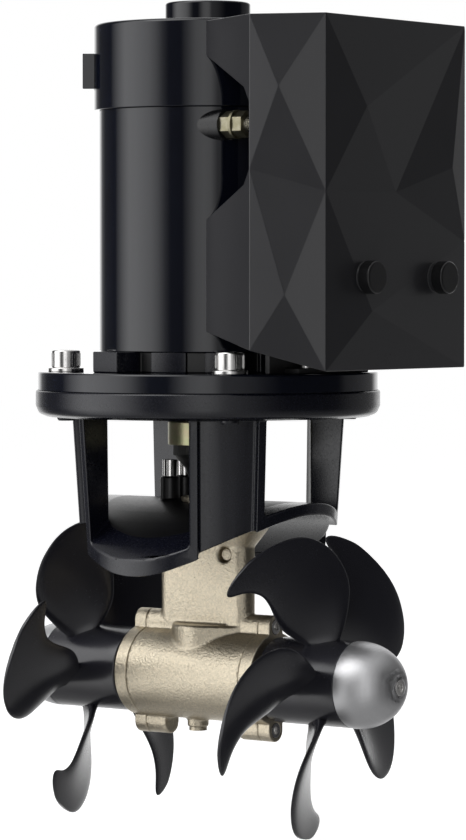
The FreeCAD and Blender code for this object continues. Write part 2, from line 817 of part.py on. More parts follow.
def coupling():
    """Two hubs with a rubber star between them, from the motor down to the leg."""
    top = S.CouplingTopZ
    low = top - S.CouplingHeight
    keep(turned("upper", [
        (low, S.MotorShaftRadius), (low, S.CouplingRadius), (top, S.CouplingRadius),
        (top, S.CouplingNeckRadius), (SUPPORT_TOP, S.CouplingNeckRadius),
        (SUPPORT_TOP, S.MotorShaftRadius)]), "upper_coupling")
    spider_low = low - S.SpiderHeight
    star = new_body("star")
    sketch = new_sketch(star, "XY_Plane", spider_low)
    draw_circle(sketch, 0, 0, S.LowerCouplingRadius - 4)
    draw_circle(sketch, 0, 0, S.DriveShaftRadius)
    pad = star.newObject("PartDesign::Pad", "ring")
    pad.Profile = sketch
    bind(pad, "Length", S.SpiderHeight)
    arm_sketch = new_sketch(star, "XY_Plane", spider_low)
    start, end = S.LowerCouplingRadius - 6, S.LowerCouplingRadius + 1
    draw_polygon(arm_sketch, [(start, -3.5), (end, -3.5), (end, 3.5), (start, 3.5)])
    arm = star.newObject("PartDesign::Pad", "arm")
    arm.Profile = arm_sketch
    bind(arm, "Length", S.SpiderHeight)
    ring_pattern(star, arm, 6)
    keep(star, "coupling_spider")
    bottom = spider_low - S.LowerCouplingHeight
    keep(turned("lower", [
        (bottom, S.DriveShaftRadius), (bottom, S.DriveShaftRadius * 2.2),
        (bottom + S.LowerCouplingHeight / 2, S.LowerCouplingRadius * 0.7),
        (spider_low, S.LowerCouplingRadius),
        (spider_low, S.DriveShaftRadius)]), "lower_coupling")


def drive_shaft():
    top = S.CouplingTopZ - S.CouplingHeight - 1
    keep(rod(S.DriveShaftRadius, PINION.small_z(), top), "drive_shaft")


class BevelGear:
    """A straight bevel gear whose pitch cone has its tip at the origin."""

    def __init__(self, teeth, mate_teeth):
        self.teeth = teeth
        self.cone = math.atan2(teeth, mate_teeth)
        module = float(S.GearModule)
        self.reach = module * math.hypot(teeth, mate_teeth) / 2
        self.face = float(S.GearFace)
        self.module = module

    def small_z(self):
        """Height of the teeth's inner end along the gear's own axis."""
        return (self.reach - self.face) * math.cos(self.cone) - self.module

    def section(self, distance):
        """Trapezium of one tooth at a distance from the pitch cone's tip."""
        scale = distance / self.reach
        up, down = self.module * 0.9 * scale, self.module * 1.3 * scale
        half = math.pi * self.module / 4 * 0.80 * scale
        slope = math.tan(math.radians(20))
        pitch = Vector(math.sin(self.cone), 0, math.cos(self.cone)) * distance
        outward = Vector(math.cos(self.cone), 0, -math.sin(self.cone))
        corners = []
        for side in (-1, 1):
            for level in (-down, up) if side < 0 else (up, -down):
                width = side * (half - level * slope)
                corners.append(pitch + outward * level + Y_AXIS * width)
        return Part.makePolygon(corners + corners[:1])

    def shape(self, hub_radius, hub_end, bore, phase):
        """Blank, teeth and hub about Z, with the teeth at the given turn."""
        outer, inner = self.reach, self.reach - self.face
        tooth = Part.makeLoft([self.section(inner), self.section(outer)], True, True)
        sine, cosine = math.sin(self.cone), math.cos(self.cone)

        def root(distance, level):
            drop = -self.module * level * distance / self.reach
            return Vector(distance * sine + drop * cosine, 0, distance * cosine - drop * sine)

        low, high = root(inner, 1.15), root(outer, 1.15)
        back = hub_end
        profile = [Vector(bore, 0, low.z), low, high, Vector(max(hub_radius, bore + 2), 0, back),
                   Vector(bore, 0, back)]
        blank = Part.Face(Part.makePolygon(profile + profile[:1])).revolve(ORIGIN, Z_AXIS, 360)
        teeth = []
        for index in range(self.teeth):
            one = tooth.copy()
            one.rotate(ORIGIN, Z_AXIS, phase + 360 * index / self.teeth)
            teeth.append(one)
        return blank.fuse(teeth).removeSplitter()


PINION = BevelGear(PINION_TEETH, CROWN_TEETH)
CROWN = BevelGear(CROWN_TEETH, PINION_TEETH)


def gears():
    """Pinion on the drive shaft and the larger bevel gear on the propeller shaft."""
    bore = float(S.DriveShaftRadius)
    pinion = PINION.shape(bore + 3.4, PINION.reach * math.cos(PINION.cone) + 2.5, bore, 0)
    keep(solid(pinion, "pinion"), "bevel_pinion")
    half_tooth = 180 / CROWN_TEETH
    hub_end = CROWN.reach * math.cos(CROWN.cone) + 8
    crown = CROWN.shape(13, hub_end, float(S.PropShaftRadius), half_tooth)
    crown.rotate(ORIGIN, Y_AXIS, -90)
    keep(solid(crown, "crown"), "crown_gear")


# ---------------------------------------------------------------- gear leg


def strut():
    """Flat strut with rounded ends that spreads where it meets the tunnel wall."""
    body = new_body("strut")
    stations = [
        (Size.of(0), S.StrutHalfLength, S.StrutHalfWidth),
        (S.StrutFlareStartZ, S.StrutHalfLength, S.StrutHalfWidth),
        (S.StrutFlareEndZ, S.StrutFlareHalfLength, S.StrutFlareHalfWidth),
        (S.TunnelRadius + 3, S.StrutFlareHalfLength, S.StrutFlareHalfWidth)]
    sketches = []
    for height, half_length, half_width in stations:
        sketch = new_sketch(body, "XY_Plane", height)
        draw_slot(sketch, half_length, half_width)
        sketches.append(sketch)
    feature = body.newObject("PartDesign::AdditiveLoft", "loft")
    feature.Profile = sketches[0]
    feature.Sections = sketches[1:]
    feature.Ruled = True
    body.Tip = feature
    tunnel = rod(S.TunnelRadius, -S.TunnelRadius, S.TunnelRadius, "X")
    return common(body, tunnel)


def lobes(start, end):
    """Screw lobes above and below the housing, from start to end along X."""
    shapes = []
    for side in (1, -1):
        shapes.append(rod(S.LobeRadius, start, end, "X", (0, S.LobeHeight * side)))
        low, top = (0, S.LobeHeight) if side > 0 else (-S.LobeHeight, 0)
        shapes.append(block(start, end, -S.LobeRadius, S.LobeRadius, low, top))
    return shapes


def gear_leg():
    """Bronze casting: strut, round gear housing, pinion boss, lobes and oil drain boss."""
    half = S.HousingHalfLength
    housing = rod(S.HousingRadius, -half, half, "X")
    boss = rounded(rod(S.GearBossRadius, 0, S.GearBossTopZ), 2.0,
                   lambda edge: near(edge.BoundBox.ZMin, S.GearBossTopZ))
    spigot = rod(S.LegSpigotRadius, S.TunnelRadius - 4, LEG_SPIGOT_TOP)
    drain = rod(S.DrainBossRadius, -S.HousingRadius - S.DrainBossRise, 0, "Z",
                (S.DrainOffset, 0))
    inner_end = half - S.LobeLength
    left, right = lobes(-half, -inner_end), lobes(inner_end, half)
    cast = fuse(housing, boss, web(), strut(), spigot, drain, *left, *right)
    bore = rod(S.HousingBoreRadius, -half - 1, half + 1, "X")
    needle_low = S.GearBossTopZ - S.NeedleLength - 1.5
    pinion_room = rod(S.PinionRoomRadius, 0, needle_low)
    needle_seat = rod(S.NeedleRadius, needle_low - 1, needle_low + S.NeedleLength)
    shaft_way = rod(S.DriveShaftRadius + 0.4, needle_low - 1, LEG_SPIGOT_TOP + 1)
    top_seat = rod(S.LegBearingRadius, LEG_SPIGOT_TOP - S.LegBearingWidth - S.LegSealWidth,
                   LEG_SPIGOT_TOP + 1)
    plug_hole = leg_plug_shape(S.PlugRadius, S.StrutHalfWidth - S.PlugHoleDepth,
                               S.StrutHalfWidth + 1)
    oil_hole = rod(S.OilScrewRadius, -S.HousingRadius - S.DrainBossRise - 1,
                   -S.HousingBoreRadius + 3, "Z", (S.DrainOffset, 0))
    threads = [rod(S.SaddleBoltRadius, S.TunnelRadius - S.SaddleBoltDepth,
                   S.TunnelRadius + 9, "Z", spot) for spot in saddle_spots()]
    reach = S.LobeLength - 2
    screw_ways = [rod(S.CapScrewRadius, start, end, "X", (0, S.LobeHeight * side))
                  for side in (1, -1)
                  for start, end in ((-half - 1, reach - half), (half - reach, half + 1))]
    return keep(cut(cast, bore, pinion_room, needle_seat, shaft_way, top_seat, plug_hole,
                    oil_hole, *threads, *screw_ways), "gear_leg")


def web():
    """Wall that runs from the pinion boss to the strut's starboard end."""
    radius, tip = float(S.GearBossRadius), float(S.StrutHalfLength - S.StrutHalfWidth)
    narrow = float(S.StrutHalfWidth)
    lean = math.acos((radius - narrow) / tip)
    near_end = (radius * math.cos(lean), radius * math.sin(lean))
    far_end = (tip + narrow * math.cos(lean), narrow * math.sin(lean))
    corners = [(near_end[0], -near_end[1]), (far_end[0], -far_end[1]),
               far_end, near_end]
    return padded("web", "XY_Plane", corners, S.GearBossTopZ - 1)


def leg_plug_shape(radius, depth_from, depth_to):
    """A short cylinder across the strut's front face, below the saddle."""
    obj = doc.addObject("Part::Cylinder", "plug")
    bind(obj, "Radius", radius)
    bind(obj, "Height", Size.of(depth_to) - depth_from)
    return place(obj, S.PlugOffset, -depth_from, S.PlugZ, Rotation(X_AXIS, 90))


def leg_bearings():
    top = S.GearBossTopZ - 1.5
    inner = S.DriveShaftRadius + S.RunningGap
    keep(tube(S.NeedleRadius, inner, top - S.NeedleLength, top), "needle_bearing")
    middle = LEG_SPIGOT_TOP - S.LegSealWidth
    keep(tube(S.LegBearingRadius, inner, middle - S.LegBearingWidth, middle), "leg_bearing")
    keep(tube(S.LegBearingRadius, inner, middle, LEG_SPIGOT_TOP), "leg_seal")


def end_cap():
    """Cover of one end of the gear housing, with seats for bearing and seal."""
    start, end = S.HousingHalfLength, CAP_FACE
    disc = rod(S.HousingRadius, start, end, "X")
    spigot = rod(S.HousingBoreRadius - S.FitGap, start - S.CapSpigotLength, start, "X")
    plain = fuse(disc, spigot, *lobes(start, end))
    bearing = rod(S.ShaftBearingRadius, start - S.CapSpigotLength - 1, start, "X")
    seal = rod(S.ShaftSealRadius, end - S.ShaftSealWidth, end + 1, "X")
    shaft = rod(S.PropShaftRadius + 0.4, start - 1, end + 1, "X")
    screw_ways = []
    for side in (1, -1):
        at = (0, S.LobeHeight * side)
        screw_ways.append(rod(S.CapScrewRadius, start - 1, end + 1, "X", at))
        screw_ways.append(rod(S.CapScrewHeadRadius + S.FitGap, end - S.CapScrewHeadHeight,
                              end + 1, "X", at))
    return cut(plain, bearing, seal, shaft, *screw_ways)


def end_caps():
    cap = end_cap()
    copies(cap, [Placement()], "end_cap_starboard")
    copies(cap, [OTHER_SIDE], "end_cap_port")
    screws = []
    for side in (1, -1):
        at = (0, S.LobeHeight * side)
        seat = CAP_FACE - S.CapScrewHeadHeight
        shank = rod(S.CapScrewRadius, S.HousingHalfLength - S.LobeLength + 4, seat, "X", at)
        head = rod(S.CapScrewHeadRadius, seat, CAP_FACE, "X", at)
        socket = hexagon(S.CapScrewHeadHeight, CAP_FACE - 2, CAP_FACE + 1, "X", at)
        screws.append(cut(fuse(shank, head), socket))
    doc.recompute()
    pair = solid(Part.makeCompound([screw.Shape for screw in screws]), "screw_pair")
    copies(pair, BOTH_SIDES, "end_cap_screws")
    start = S.HousingHalfLength - S.CapSpigotLength
    bearing = tube(S.ShaftBearingRadius, S.PropShaftRadius + S.RunningGap,
                   start, S.HousingHalfLength, "X")
    copies(bearing, BOTH_SIDES, "shaft_bearings")
    seal = tube(S.ShaftSealRadius, S.PropShaftRadius + S.RunningGap,
                CAP_FACE - S.ShaftSealWidth, CAP_FACE + 0.8, "X")
    copies(seal, BOTH_SIDES, "shaft_seals")


def plugs():
    spot, face = (S.DrainOffset, 0), -S.HousingRadius - S.DrainBossRise
    oil = fuse(rod(S.OilScrewRadius, face, -S.HousingBoreRadius, "Z", spot),
               rod(S.OilPlugRadius, face - 2, face, "Z", spot))
    keep(oil, "oil_plug")
    keep(leg_plug_shape(S.PlugRadius, S.StrutHalfWidth - S.PlugHoleDepth,
                        S.StrutHalfWidth - S.PlugSink), "leg_plug")


# ---------------------------------------------------------------- propeller line


def propeller_shaft():
    start, tip = S.HubStart, HUB_END - S.AnodeSkirt
    profile = [(-tip, 0), (-tip, S.PropEndRadius), (-start, S.PropEndRadius),
               (-start, S.PropShaftRadius), (start, S.PropShaftRadius),
               (start, S.PropEndRadius), (tip, S.PropEndRadius), (tip, 0)]
    bar = turned("bar", profile, "X")
    pins = [pin_at(turn, S.PropEndRadius + 1) for turn in (STARBOARD_TURN, PORT_TURN)]
    threads = [rod(S.AnodeScrewRadius, tip - 12, tip + 1, "X"),
               rod(S.AnodeScrewRadius, -tip - 1, 12 - tip, "X")]
    keep(cut(bar, *pins, *threads), "propeller_shaft")
    group([pin_at(turn, S.DrivePinHalfLength) for turn in (STARBOARD_TURN, PORT_TURN)],
          "drive_pins")


def pin_at(turn, half_length):
    """A cross pin that is turned with the propeller it drives."""
    pin = rod(S.DrivePinRadius, -half_length, half_length, "Z", (drive_pin_x(), 0))
    doc.recompute()
    where = turned_about(X_AXIS, turn)
    if turn == PORT_TURN:
        where = OTHER_SIDE.multiply(where)
    shape = pin.Shape.copy()
    shape.Placement = where.multiply(shape.Placement)
    return solid(shape, "cross_pin")


def drive_pin_x():
    return S.HubStart + S.DrivePinRadius + 1.5


# Outline of one blade seen along the shaft: share of the propeller's radius, and degrees
# ahead of the blade's root line.  The back edge bulges, the front edge is hollow and ends
# in a blunt tip that points ahead.
BLADE_BACK = ((0.22, -14), (0.34, -20.5), (0.50, -22.5), (0.65, -20.5), (0.80, -14),
              (0.92, -4), (0.985, 8), (1.0, 20), (0.995, 30))
BLADE_TIP = ((0.985, 35.5), (0.935, 39.5))
BLADE_FRONT = ((0.86, 34.5), (0.76, 28), (0.62, 25), (0.48, 25), (0.36, 22), (0.22, 13))


def outline_point(share, degrees):
    radius = share * float(S.PropellerRadius)
    angle = math.radians(degrees)
    return Vector(0, radius * math.sin(-angle), radius * math.cos(angle))


def blade_outline():
    """Prism along X whose section is the blade's outline."""
    back = [outline_point(*p) for p in BLADE_BACK]
    front = [outline_point(*p) for p in BLADE_FRONT]
    corner = outline_point(*BLADE_TIP[0])
    nose = outline_point(*BLADE_TIP[1])
    edge_back, edge_front = Part.BSplineCurve(), Part.BSplineCurve()
    edge_back.interpolate(back)
    edge_front.interpolate([nose] + front)
    tip = Part.Arc(back[-1], corner, nose)
    wire = Part.Wire([edge_back.toShape(), tip.toShape(), edge_front.toShape(),
                      Part.makeLine(front[-1], back[0])])
    face = Part.Face(wire)
    face.translate(Vector(float(S.HubStart) - 20, 0, 0))
    return face.extrude(Vector(float(S.HubLength) + 40, 0, 0))


def blade_skin(side):
    """Grid of points on one face of the blade: rows run out along the radius."""
    middle = float(S.HubStart) + float(S.HubLength) * 0.6
    pitch = float(S.PropellerPitch)
    start, end = float(S.HubRadius) * 0.8, float(S.PropellerRadius) * 1.03
    rows = []
    for step in range(4):
        share = step / 3
        radius = start + (end - start) * share
        half = (float(S.BladeRootThickness) * (1 - share)
                + float(S.BladeTipThickness) * share) / 2
        steepness = math.atan2(pitch, 2 * math.pi * radius)
        along_shift = side * half * math.cos(steepness)
        turn_shift = side * half * math.sin(steepness) / radius
        row = []
        for degrees in range(-32, 49, 16):
            turn = math.radians(degrees) + turn_shift
            along = middle - degrees * pitch / 360 + along_shift
            row.append(Vector(along, -radius * math.sin(turn), radius * math.cos(turn)))
        rows.append(row)
    return rows


def blade():
    """Twisted slab, thin at the tip, trimmed to the blade's outline."""
    skins = []
    for side in (1, -1):
        surface = Part.BSplineSurface()
        surface.interpolate(blade_skin(side))
        skins.append(surface)
    upper, lower = skins
    faces = [surface.toShape() for surface in skins]
    for edge_of in (lambda s: s.uIso(s.bounds()[0]), lambda s: s.uIso(s.bounds()[1]),
                    lambda s: s.vIso(s.bounds()[2]), lambda s: s.vIso(s.bounds()[3])):
        faces.append(Part.makeRuledSurface(edge_of(upper).toShape(), edge_of(lower).toShape()))
    shell = Part.makeShell(faces)
    shell.sewShape()
    slab = Part.makeSolid(Part.Shell(shell.Faces))
    if slab.Volume < 0:
        slab.reverse()
    return slab.common(blade_outline())


def hub():
    """Round hub with a through bore, a slot for the drive pin and room for the nut."""
    edge = 1.5
    body = turned("hub", [
        (S.HubStart, S.PropEndRadius), (S.HubStart, S.HubRadius - edge),
        (S.HubStart + edge, S.HubRadius), (HUB_END, S.HubRadius),
        (HUB_END, S.HubCounterboreRadius),
        (HUB_END - S.HubCounterboreDepth, S.HubCounterboreRadius),
        (HUB_END - S.HubCounterboreDepth, S.PropEndRadius)], "X")
    half = S.DrivePinRadius + S.FitGap
    slot = block(S.HubStart - 1, drive_pin_x() + half, -half, half,
                 -S.DrivePinHalfLength - 0.5, S.DrivePinHalfLength + 0.5)
    return cut(body, slot)


def propellers():
    """The same propeller twice: the port one is turned half round about Z."""
    doc.recompute()
    base = hub()
    doc.recompute()
    first = blade()
    blades = []
    for index in range(BLADES):
        one = first.copy()
        one.rotate(ORIGIN, X_AXIS, 360 / BLADES * index)
        blades.append(one)
    shaft_room = Part.makeCylinder(float(S.HubRadius) - 3, float(S.HubLength) + 60,
                                   Vector(float(S.HubStart) - 30, 0, 0), X_AXIS)
    trimmed = [one.cut(shaft_room) for one in blades]
    whole = base.Shape.fuse(trimmed).removeSplitter()
    propeller = solid(whole, "propeller")
    copies(propeller, [turned_about(X_AXIS, STARBOARD_TURN)], "starboard_propeller")
    copies(propeller, [OTHER_SIDE.multiply(turned_about(X_AXIS, PORT_TURN))], "port_propeller")


# turn of each propeller on the shaft at rest, so that the blades stand as in use
STARBOARD_TURN = 14
PORT_TURN = -24.5


def propeller_fasteners():
    """Washer and nut of each propeller, in the hub's outer end."""
    seat = HUB_END - S.HubCounterboreDepth
    washer = tube(S.HubCounterboreRadius - 1, S.PropEndRadius, seat, seat + 1.5, "X")
    copies(washer, BOTH_SIDES, "propeller_washers")
    start = seat + 1.5
    nut = cut(hexagon(S.PropNutAcrossFlats, start, start + S.PropNutHeight, "X"),
              rod(S.PropEndRadius, start - 1, start + S.PropNutHeight + 1, "X"))
    copies(nut, BOTH_SIDES, "propeller_nuts")


def anode_profile():
    """Half outline of the domed anode, from its skirt out to the tip."""
    steps = 9
    radius, length = float(S.AnodeRadius), float(S.AnodeLength)
    end = float(HUB_END)
    skirt = 2.0
    points = [Vector(end, 0, 0), Vector(end, radius, 0), Vector(end + skirt, radius, 0)]
    curve = [Vector(end + skirt + (length - skirt) * math.sin(i * math.pi / 2 / steps),
                    radius * math.cos(i * math.pi / 2 / steps), 0) for i in range(steps + 1)]
    spline = Part.BSplineCurve()
    spline.interpolate(curve, InitialTangent=X_AXIS, FinalTangent=Vector(0, -1, 0))
    edges = [Part.makeLine(points[0], points[1]), Part.makeLine(points[1], points[2]),
             spline.toShape(), Part.makeLine(curve[-1], points[0])]
    return Part.Face(Part.Wire(edges))


def anodes():
    """Zinc dome over each hub end, held by a countersunk screw in the shaft."""
    doc.recompute()
    dome = solid(anode_profile().revolve(ORIGIN, X_AXIS, 360), "dome")
    skirt = rod(S.HubCounterboreRadius - S.FitGap, HUB_END - S.AnodeSkirt, HUB_END + 1, "X")
    tip = HUB_END + S.AnodeLength
    way = rod(S.AnodeScrewRadius, HUB_END - S.AnodeSkirt - 1, tip + 1, "X")
    sink = turned("sink", [(tip - 4.2, 0), (tip - 4.2, S.AnodeScrewRadius),
                           (tip - 0.8, S.AnodeScrewRadius * 2.2),
                           (tip + 1, S.AnodeScrewRadius * 2.2), (tip + 1, 0)], "X")
    anode = cut(fuse(dome, skirt), way, sink)
    copies(anode, [Placement()], "starboard_anode")
    copies(anode, [OTHER_SIDE], "port_anode")
    screw = turned("screw", [
        (HUB_END - S.AnodeSkirt - 11, 0),
        (HUB_END - S.AnodeSkirt - 11, S.AnodeScrewRadius), (tip - 4.2, S.AnodeScrewRadius),
        (tip - 0.8, S.AnodeScrewRadius * 2.2), (tip - 0.4, S.AnodeScrewRadius * 2.2),
        (tip - 0.4, 0)], "X")
    socket = hexagon(Size.of(3), tip - 3, tip + 1, "X")
    copies(cut(screw, socket), BOTH_SIDES, "anode_screws")


# ---------------------------------------------------------------- relay box


def faceted_solid(inset):
    """The relay box's outer form, or the same form drawn in by a wall's thickness."""
    face, half = float(S.CoverFaceX) - inset, float(S.CoverHalfWidth) - inset
    top, low = float(S.CoverTopZ) - inset, float(S.CoverBottomZ)
    flare_x, flare_y = float(S.CoverFlareX), float(S.CoverFlareHalfWidth) - inset * 1.1
    wing_x, wing_y = float(S.CoverWingX), float(S.CoverWingHalfWidth) - inset * 1.2
    flare_low = low + float(S.CoverFlareRise)
    wing_low = low + float(S.CoverWingRise)
    if inset:
        wing_x -= 1
        drop = 2
        low, flare_low, wing_low = low - drop, flare_low - drop, wing_low - drop
    height = top - low
    peak, proud = float(S.FrontFacetHeight), float(S.SideFacetHeight)

    def on_face(across, up, lift=0.0):
        return Vector(face + lift, across * half, low + up * height)

    def on_side(side, along, up, lift=0.0):
        """A point of the side wall: along 0 is the flare's edge, 1 the face's edge."""
        x = flare_x + (face - flare_x) * along
        y = flare_y + (half - flare_y) * along
        base = flare_low + (low - flare_low) * along
        run = Vector(face - flare_x, half - flare_y, 0).normalize()
        out = Vector(-run.y, run.x, 0) * lift
        return Vector(x + out.x, side * (y + out.y), base + up * (top - base))

    corner = {1: on_face(-1, 1), 2: on_face(1, 1), 3: on_face(-0.525, 0.745, peak),
              4: on_face(-1, 0.504), 5: on_face(-0.02, 0.507),
              6: on_face(0.713, 0.583, peak), 7: on_face(1, 0.369),
              8: on_face(-0.45, 0.168, peak), 9: on_face(-1, 0), 10: on_face(1, 0)}
    front = [(1, 3, 2), (2, 3, 5), (1, 4, 3), (3, 4, 5), (2, 5, 6), (5, 7, 6), (2, 6, 7),
             (4, 8, 5), (5, 8, 7), (8, 10, 7), (4, 9, 8), (8, 9, 10)]
    triangles = [[corner[i] for i in trio] for trio in front]
    for side, edge_mid in ((-1, corner[4]), (1, corner[7])):
        edge_top, edge_low = (corner[1], corner[9]) if side < 0 else (corner[2], corner[10])
        flare_top = on_side(side, 0, 1)
        upper, lower = on_side(side, 0.40, 0.79, proud), on_side(side, 0.48, 0.19, proud)
        flare_mid, flare_end = on_side(side, 0, 0.54), on_side(side, 0, 0)
        wing_top = Vector(wing_x, side * wing_y, top)
        wing_end = Vector(wing_x, side * wing_y, wing_low)
        triangles += [
            [flare_top, edge_top, upper], [flare_top, upper, flare_mid],
            [edge_top, edge_mid, upper], [upper, edge_mid, flare_mid],
            [flare_mid, edge_mid, lower], [flare_mid, lower, flare_end],
            [edge_mid, edge_low, lower], [lower, edge_low, flare_end],
            [wing_top, flare_top, flare_mid], [wing_top, flare_mid, wing_end],
            [wing_end, flare_mid, flare_end]]
    left = [Vector(wing_x, -wing_y, z) for z in (wing_low, top)]
    right = [Vector(wing_x, wing_y, z) for z in (top, wing_low)]
    walls = [left + right]
    walls.append([left[1], on_side(-1, 0, 1), corner[1], corner[2], on_side(1, 0, 1), right[0]])
    triangles += [[left[0], on_side(-1, 0, 0), on_side(1, 0, 0)],
                  [left[0], on_side(1, 0, 0), right[1]],
                  [on_side(-1, 0, 0), corner[9], corner[10]],
                  [on_side(-1, 0, 0), corner[10], on_side(1, 0, 0)]]
    faces = [Part.Face(Part.makePolygon(loop + loop[:1])) for loop in walls + triangles]
    return Part.Solid(Part.makeShell(faces))


def relay_cover():
    """Faceted hood over the relay box; its wings reach back round the motor."""
    doc.recompute()
    wall = float(S.CoverWall)
    outer = solid(faceted_solid(0), "hood_outside")
    inner = solid(faceted_solid(wall), "hood_inside")
    motor_room = rod(S.BrushCoverRadius + 0.6, S.CoverBottomZ - 5, S.CoverTopZ + 5)
    back_room = block(0, S.CoverWingX + 1, -S.CoverFlareHalfWidth, S.CoverFlareHalfWidth,
                      S.CoverBottomZ - 5, S.CoverTopZ + 5)
    stud_holes = [rod(S.CoverStudRadius + 0.2, S.BracketX,
                      S.CoverFaceX + S.FrontFacetHeight + 1, "X",
                      (S.KnobHalfSpacing * side, S.KnobZ)) for side in (1, -1)]
    seats = [rod(S.KnobRadius - 1, cover_seat_x(), S.CoverFaceX + S.FrontFacetHeight, "X",
                 (S.KnobHalfSpacing * side, S.KnobZ)) for side in (1, -1)]
    hollow = cut(outer, inner)
    shell = cut(fuse(hollow, *seats), motor_room, back_room, *stud_holes, *wing_windows())
    return keep(shell, "relay_cover")


def cover_seat_x():
    """Inner face of the cover's two seats, where the spacers meet it."""
    return S.CoverFaceX - S.CoverWall


def wing_windows():
    """Openings in both wings beside the motor's terminals."""
    low_in, top_in = S.CoverTopZ - 109, S.CoverTopZ - 18
    low_out, top_out = S.CoverTopZ - 87.6, S.CoverTopZ - 41.4
    start, end = S.CoverWingX - 1, S.CoverFlareX - 0.8
    corners = [(start, low_in), (end - 6, low_out - 3), (end, low_out + 5),
               (end, top_out - 5), (end - 6, top_out + 3), (start, top_in)]
    reach = S.CoverFlareHalfWidth + 5
    near_side = padded("window_cut", "XZ_Plane", corners, reach * 2, both_ways=True)
    middle = block(0, S.CoverFaceX, -S.CoverWingHalfWidth + 8, S.CoverWingHalfWidth - 8,
                   S.CoverBottomZ, S.CoverTopZ)
    return [cut(near_side, middle)]


def relay_bracket():
    """Folded plate that stands on the motor flange and carries relay, studs and cover."""
    x0, x1 = S.BracketX, S.BracketX + S.BracketThickness
    half = S.BracketHalfWidth
    plate = block(x0, x1, -half, half, FLANGE_TOP, S.CoverTopZ - S.BracketDrop)
    foot = block(x0, MOTOR_FLANGE_RADIUS * 0.9, -half * 0.7, half * 0.7,
                 FLANGE_TOP, FLANGE_TOP + S.BracketThickness)
    holes = [rod(S.CoverStudRadius, x0 - 1, x1 + 1, "X", (S.KnobHalfSpacing * side, S.KnobZ))
             for side in (1, -1)]
    keep(cut(fuse(plate, foot), *holes), "relay_bracket")
    screws = []
    for side in (1, -1):
        spot = (S.BracketX + S.BracketScrewRadius + 3.5, S.BracketScrewOffset * side)
        top = FLANGE_TOP + S.BracketThickness
        screws.append(rod(S.BracketScrewRadius, top, top + S.BracketScrewHeight, "Z", spot))
    group(screws, "bracket_screws")
    studs = []
    for side in (1, -1):
        at = (S.KnobHalfSpacing * side, S.KnobZ)
        stud = rod(S.CoverStudRadius, x0, KNOB_START + S.KnobLength - 3, "X", at)
        spacer = rod(S.CoverStudRadius * 1.8, x1, cover_seat_x(), "X", at)
        studs.append(fuse(stud, spacer))
    group(studs, "cover_studs")


def contactor():
    """Reversing relay on the bracket: base, two coils and four power terminals."""
    x1 = S.BracketX + S.BracketThickness
    middle_z = S.KnobZ + S.ContactorRise
    face = x1 + S.ContactorDepth
    half = S.ContactorHalfWidth
    keep(block(x1, face, -half, half, middle_z - S.ContactorDown, middle_z + S.ContactorUp),
         "contactor_base")
    coils, caps, studs = [], [], []
    for side in (1, -1):
        at = (S.CoilSpacing * side, middle_z)
        end = face + S.CoilLength
        coils.append(rod(S.CoilRadius, face, end, "X", at))
        caps.append(rod(S.CoilCapRadius, end, end + S.CoilCapThickness, "X", at))
        for height in (middle_z - S.ContactorDown * 0.8, middle_z + S.ContactorUp * 0.77):
            spot = (S.RelayStudOffset * side, height)
            studs.append(rod(S.RelayStudRadius, face, face + S.RelayStudLength, "X", spot))
    group(coils, "contactor_coils")
    group(caps, "contactor_caps")
    group(studs, "contactor_studs")


def cover_knobs():
    """Thumb nuts that hold the cover on its two studs."""
    start, end = KNOB_START, KNOB_START + S.KnobLength
    edge = 0.8
    hole = S.CoverStudRadius + S.RunningGap
    for side, label in ((-1, "cover_knob_fore"), (1, "cover_knob_aft")):
        knob = turned("knob", [
            (start, hole), (start, S.KnobRadius), (end - edge, S.KnobRadius),
            (end, S.KnobRadius - edge), (end, 0), (end - 2, 0), (end - 2, hole)], "X")
        where = shifted(0, S.KnobHalfSpacing * side, S.KnobZ)
        copies(knob, [where], label)


# ---------------------------------------------------------------- build and write


def build():
    motor_housing()
    drive_end_shield()
    motor_field()
    armature()
    brush_gear()
    brush_cover()
    motor_bearings()
    terminals()
    motor_flange()
    support_bell()
    saddle_bolts()
    coupling()
    drive_shaft()
    gears()
    gear_leg()
    leg_bearings()
    end_caps()
    plugs()
    propeller_shaft()
    propellers()
    propeller_fasteners()
    anodes()
    relay_cover()
    relay_bracket()
    contactor()
    cover_knobs()


def check():
    """Stop before writing anything if an object failed or a shape is not sound."""
    doc.recompute()
    for obj in doc.Objects:
        if "Invalid" in obj.State or "Error" in obj.State:
            raise RuntimeError(f"{obj.Label} failed: {obj.State}")
    for obj in parts:
        if obj.Shape.isNull() or not obj.Shape.isValid() or not obj.Shape.Solids:
            raise RuntimeError(f"{obj.Label} is not a sound solid")


build()
check()
os.makedirs("parts", exist_ok=True)
for part in parts:
    part.Shape.exportStep(os.path.join("parts", part.Label + ".step"))
    print(part.Label, len(part.Shape.Solids), round(part.Shape.Volume))
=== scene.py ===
"""Looks of an electric tunnel thruster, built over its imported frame.

Metres, +Z up along the motor, +X along the propeller shaft.  Every piece is made in place,
so its object stays at the origin and only its mesh has a position.
"""

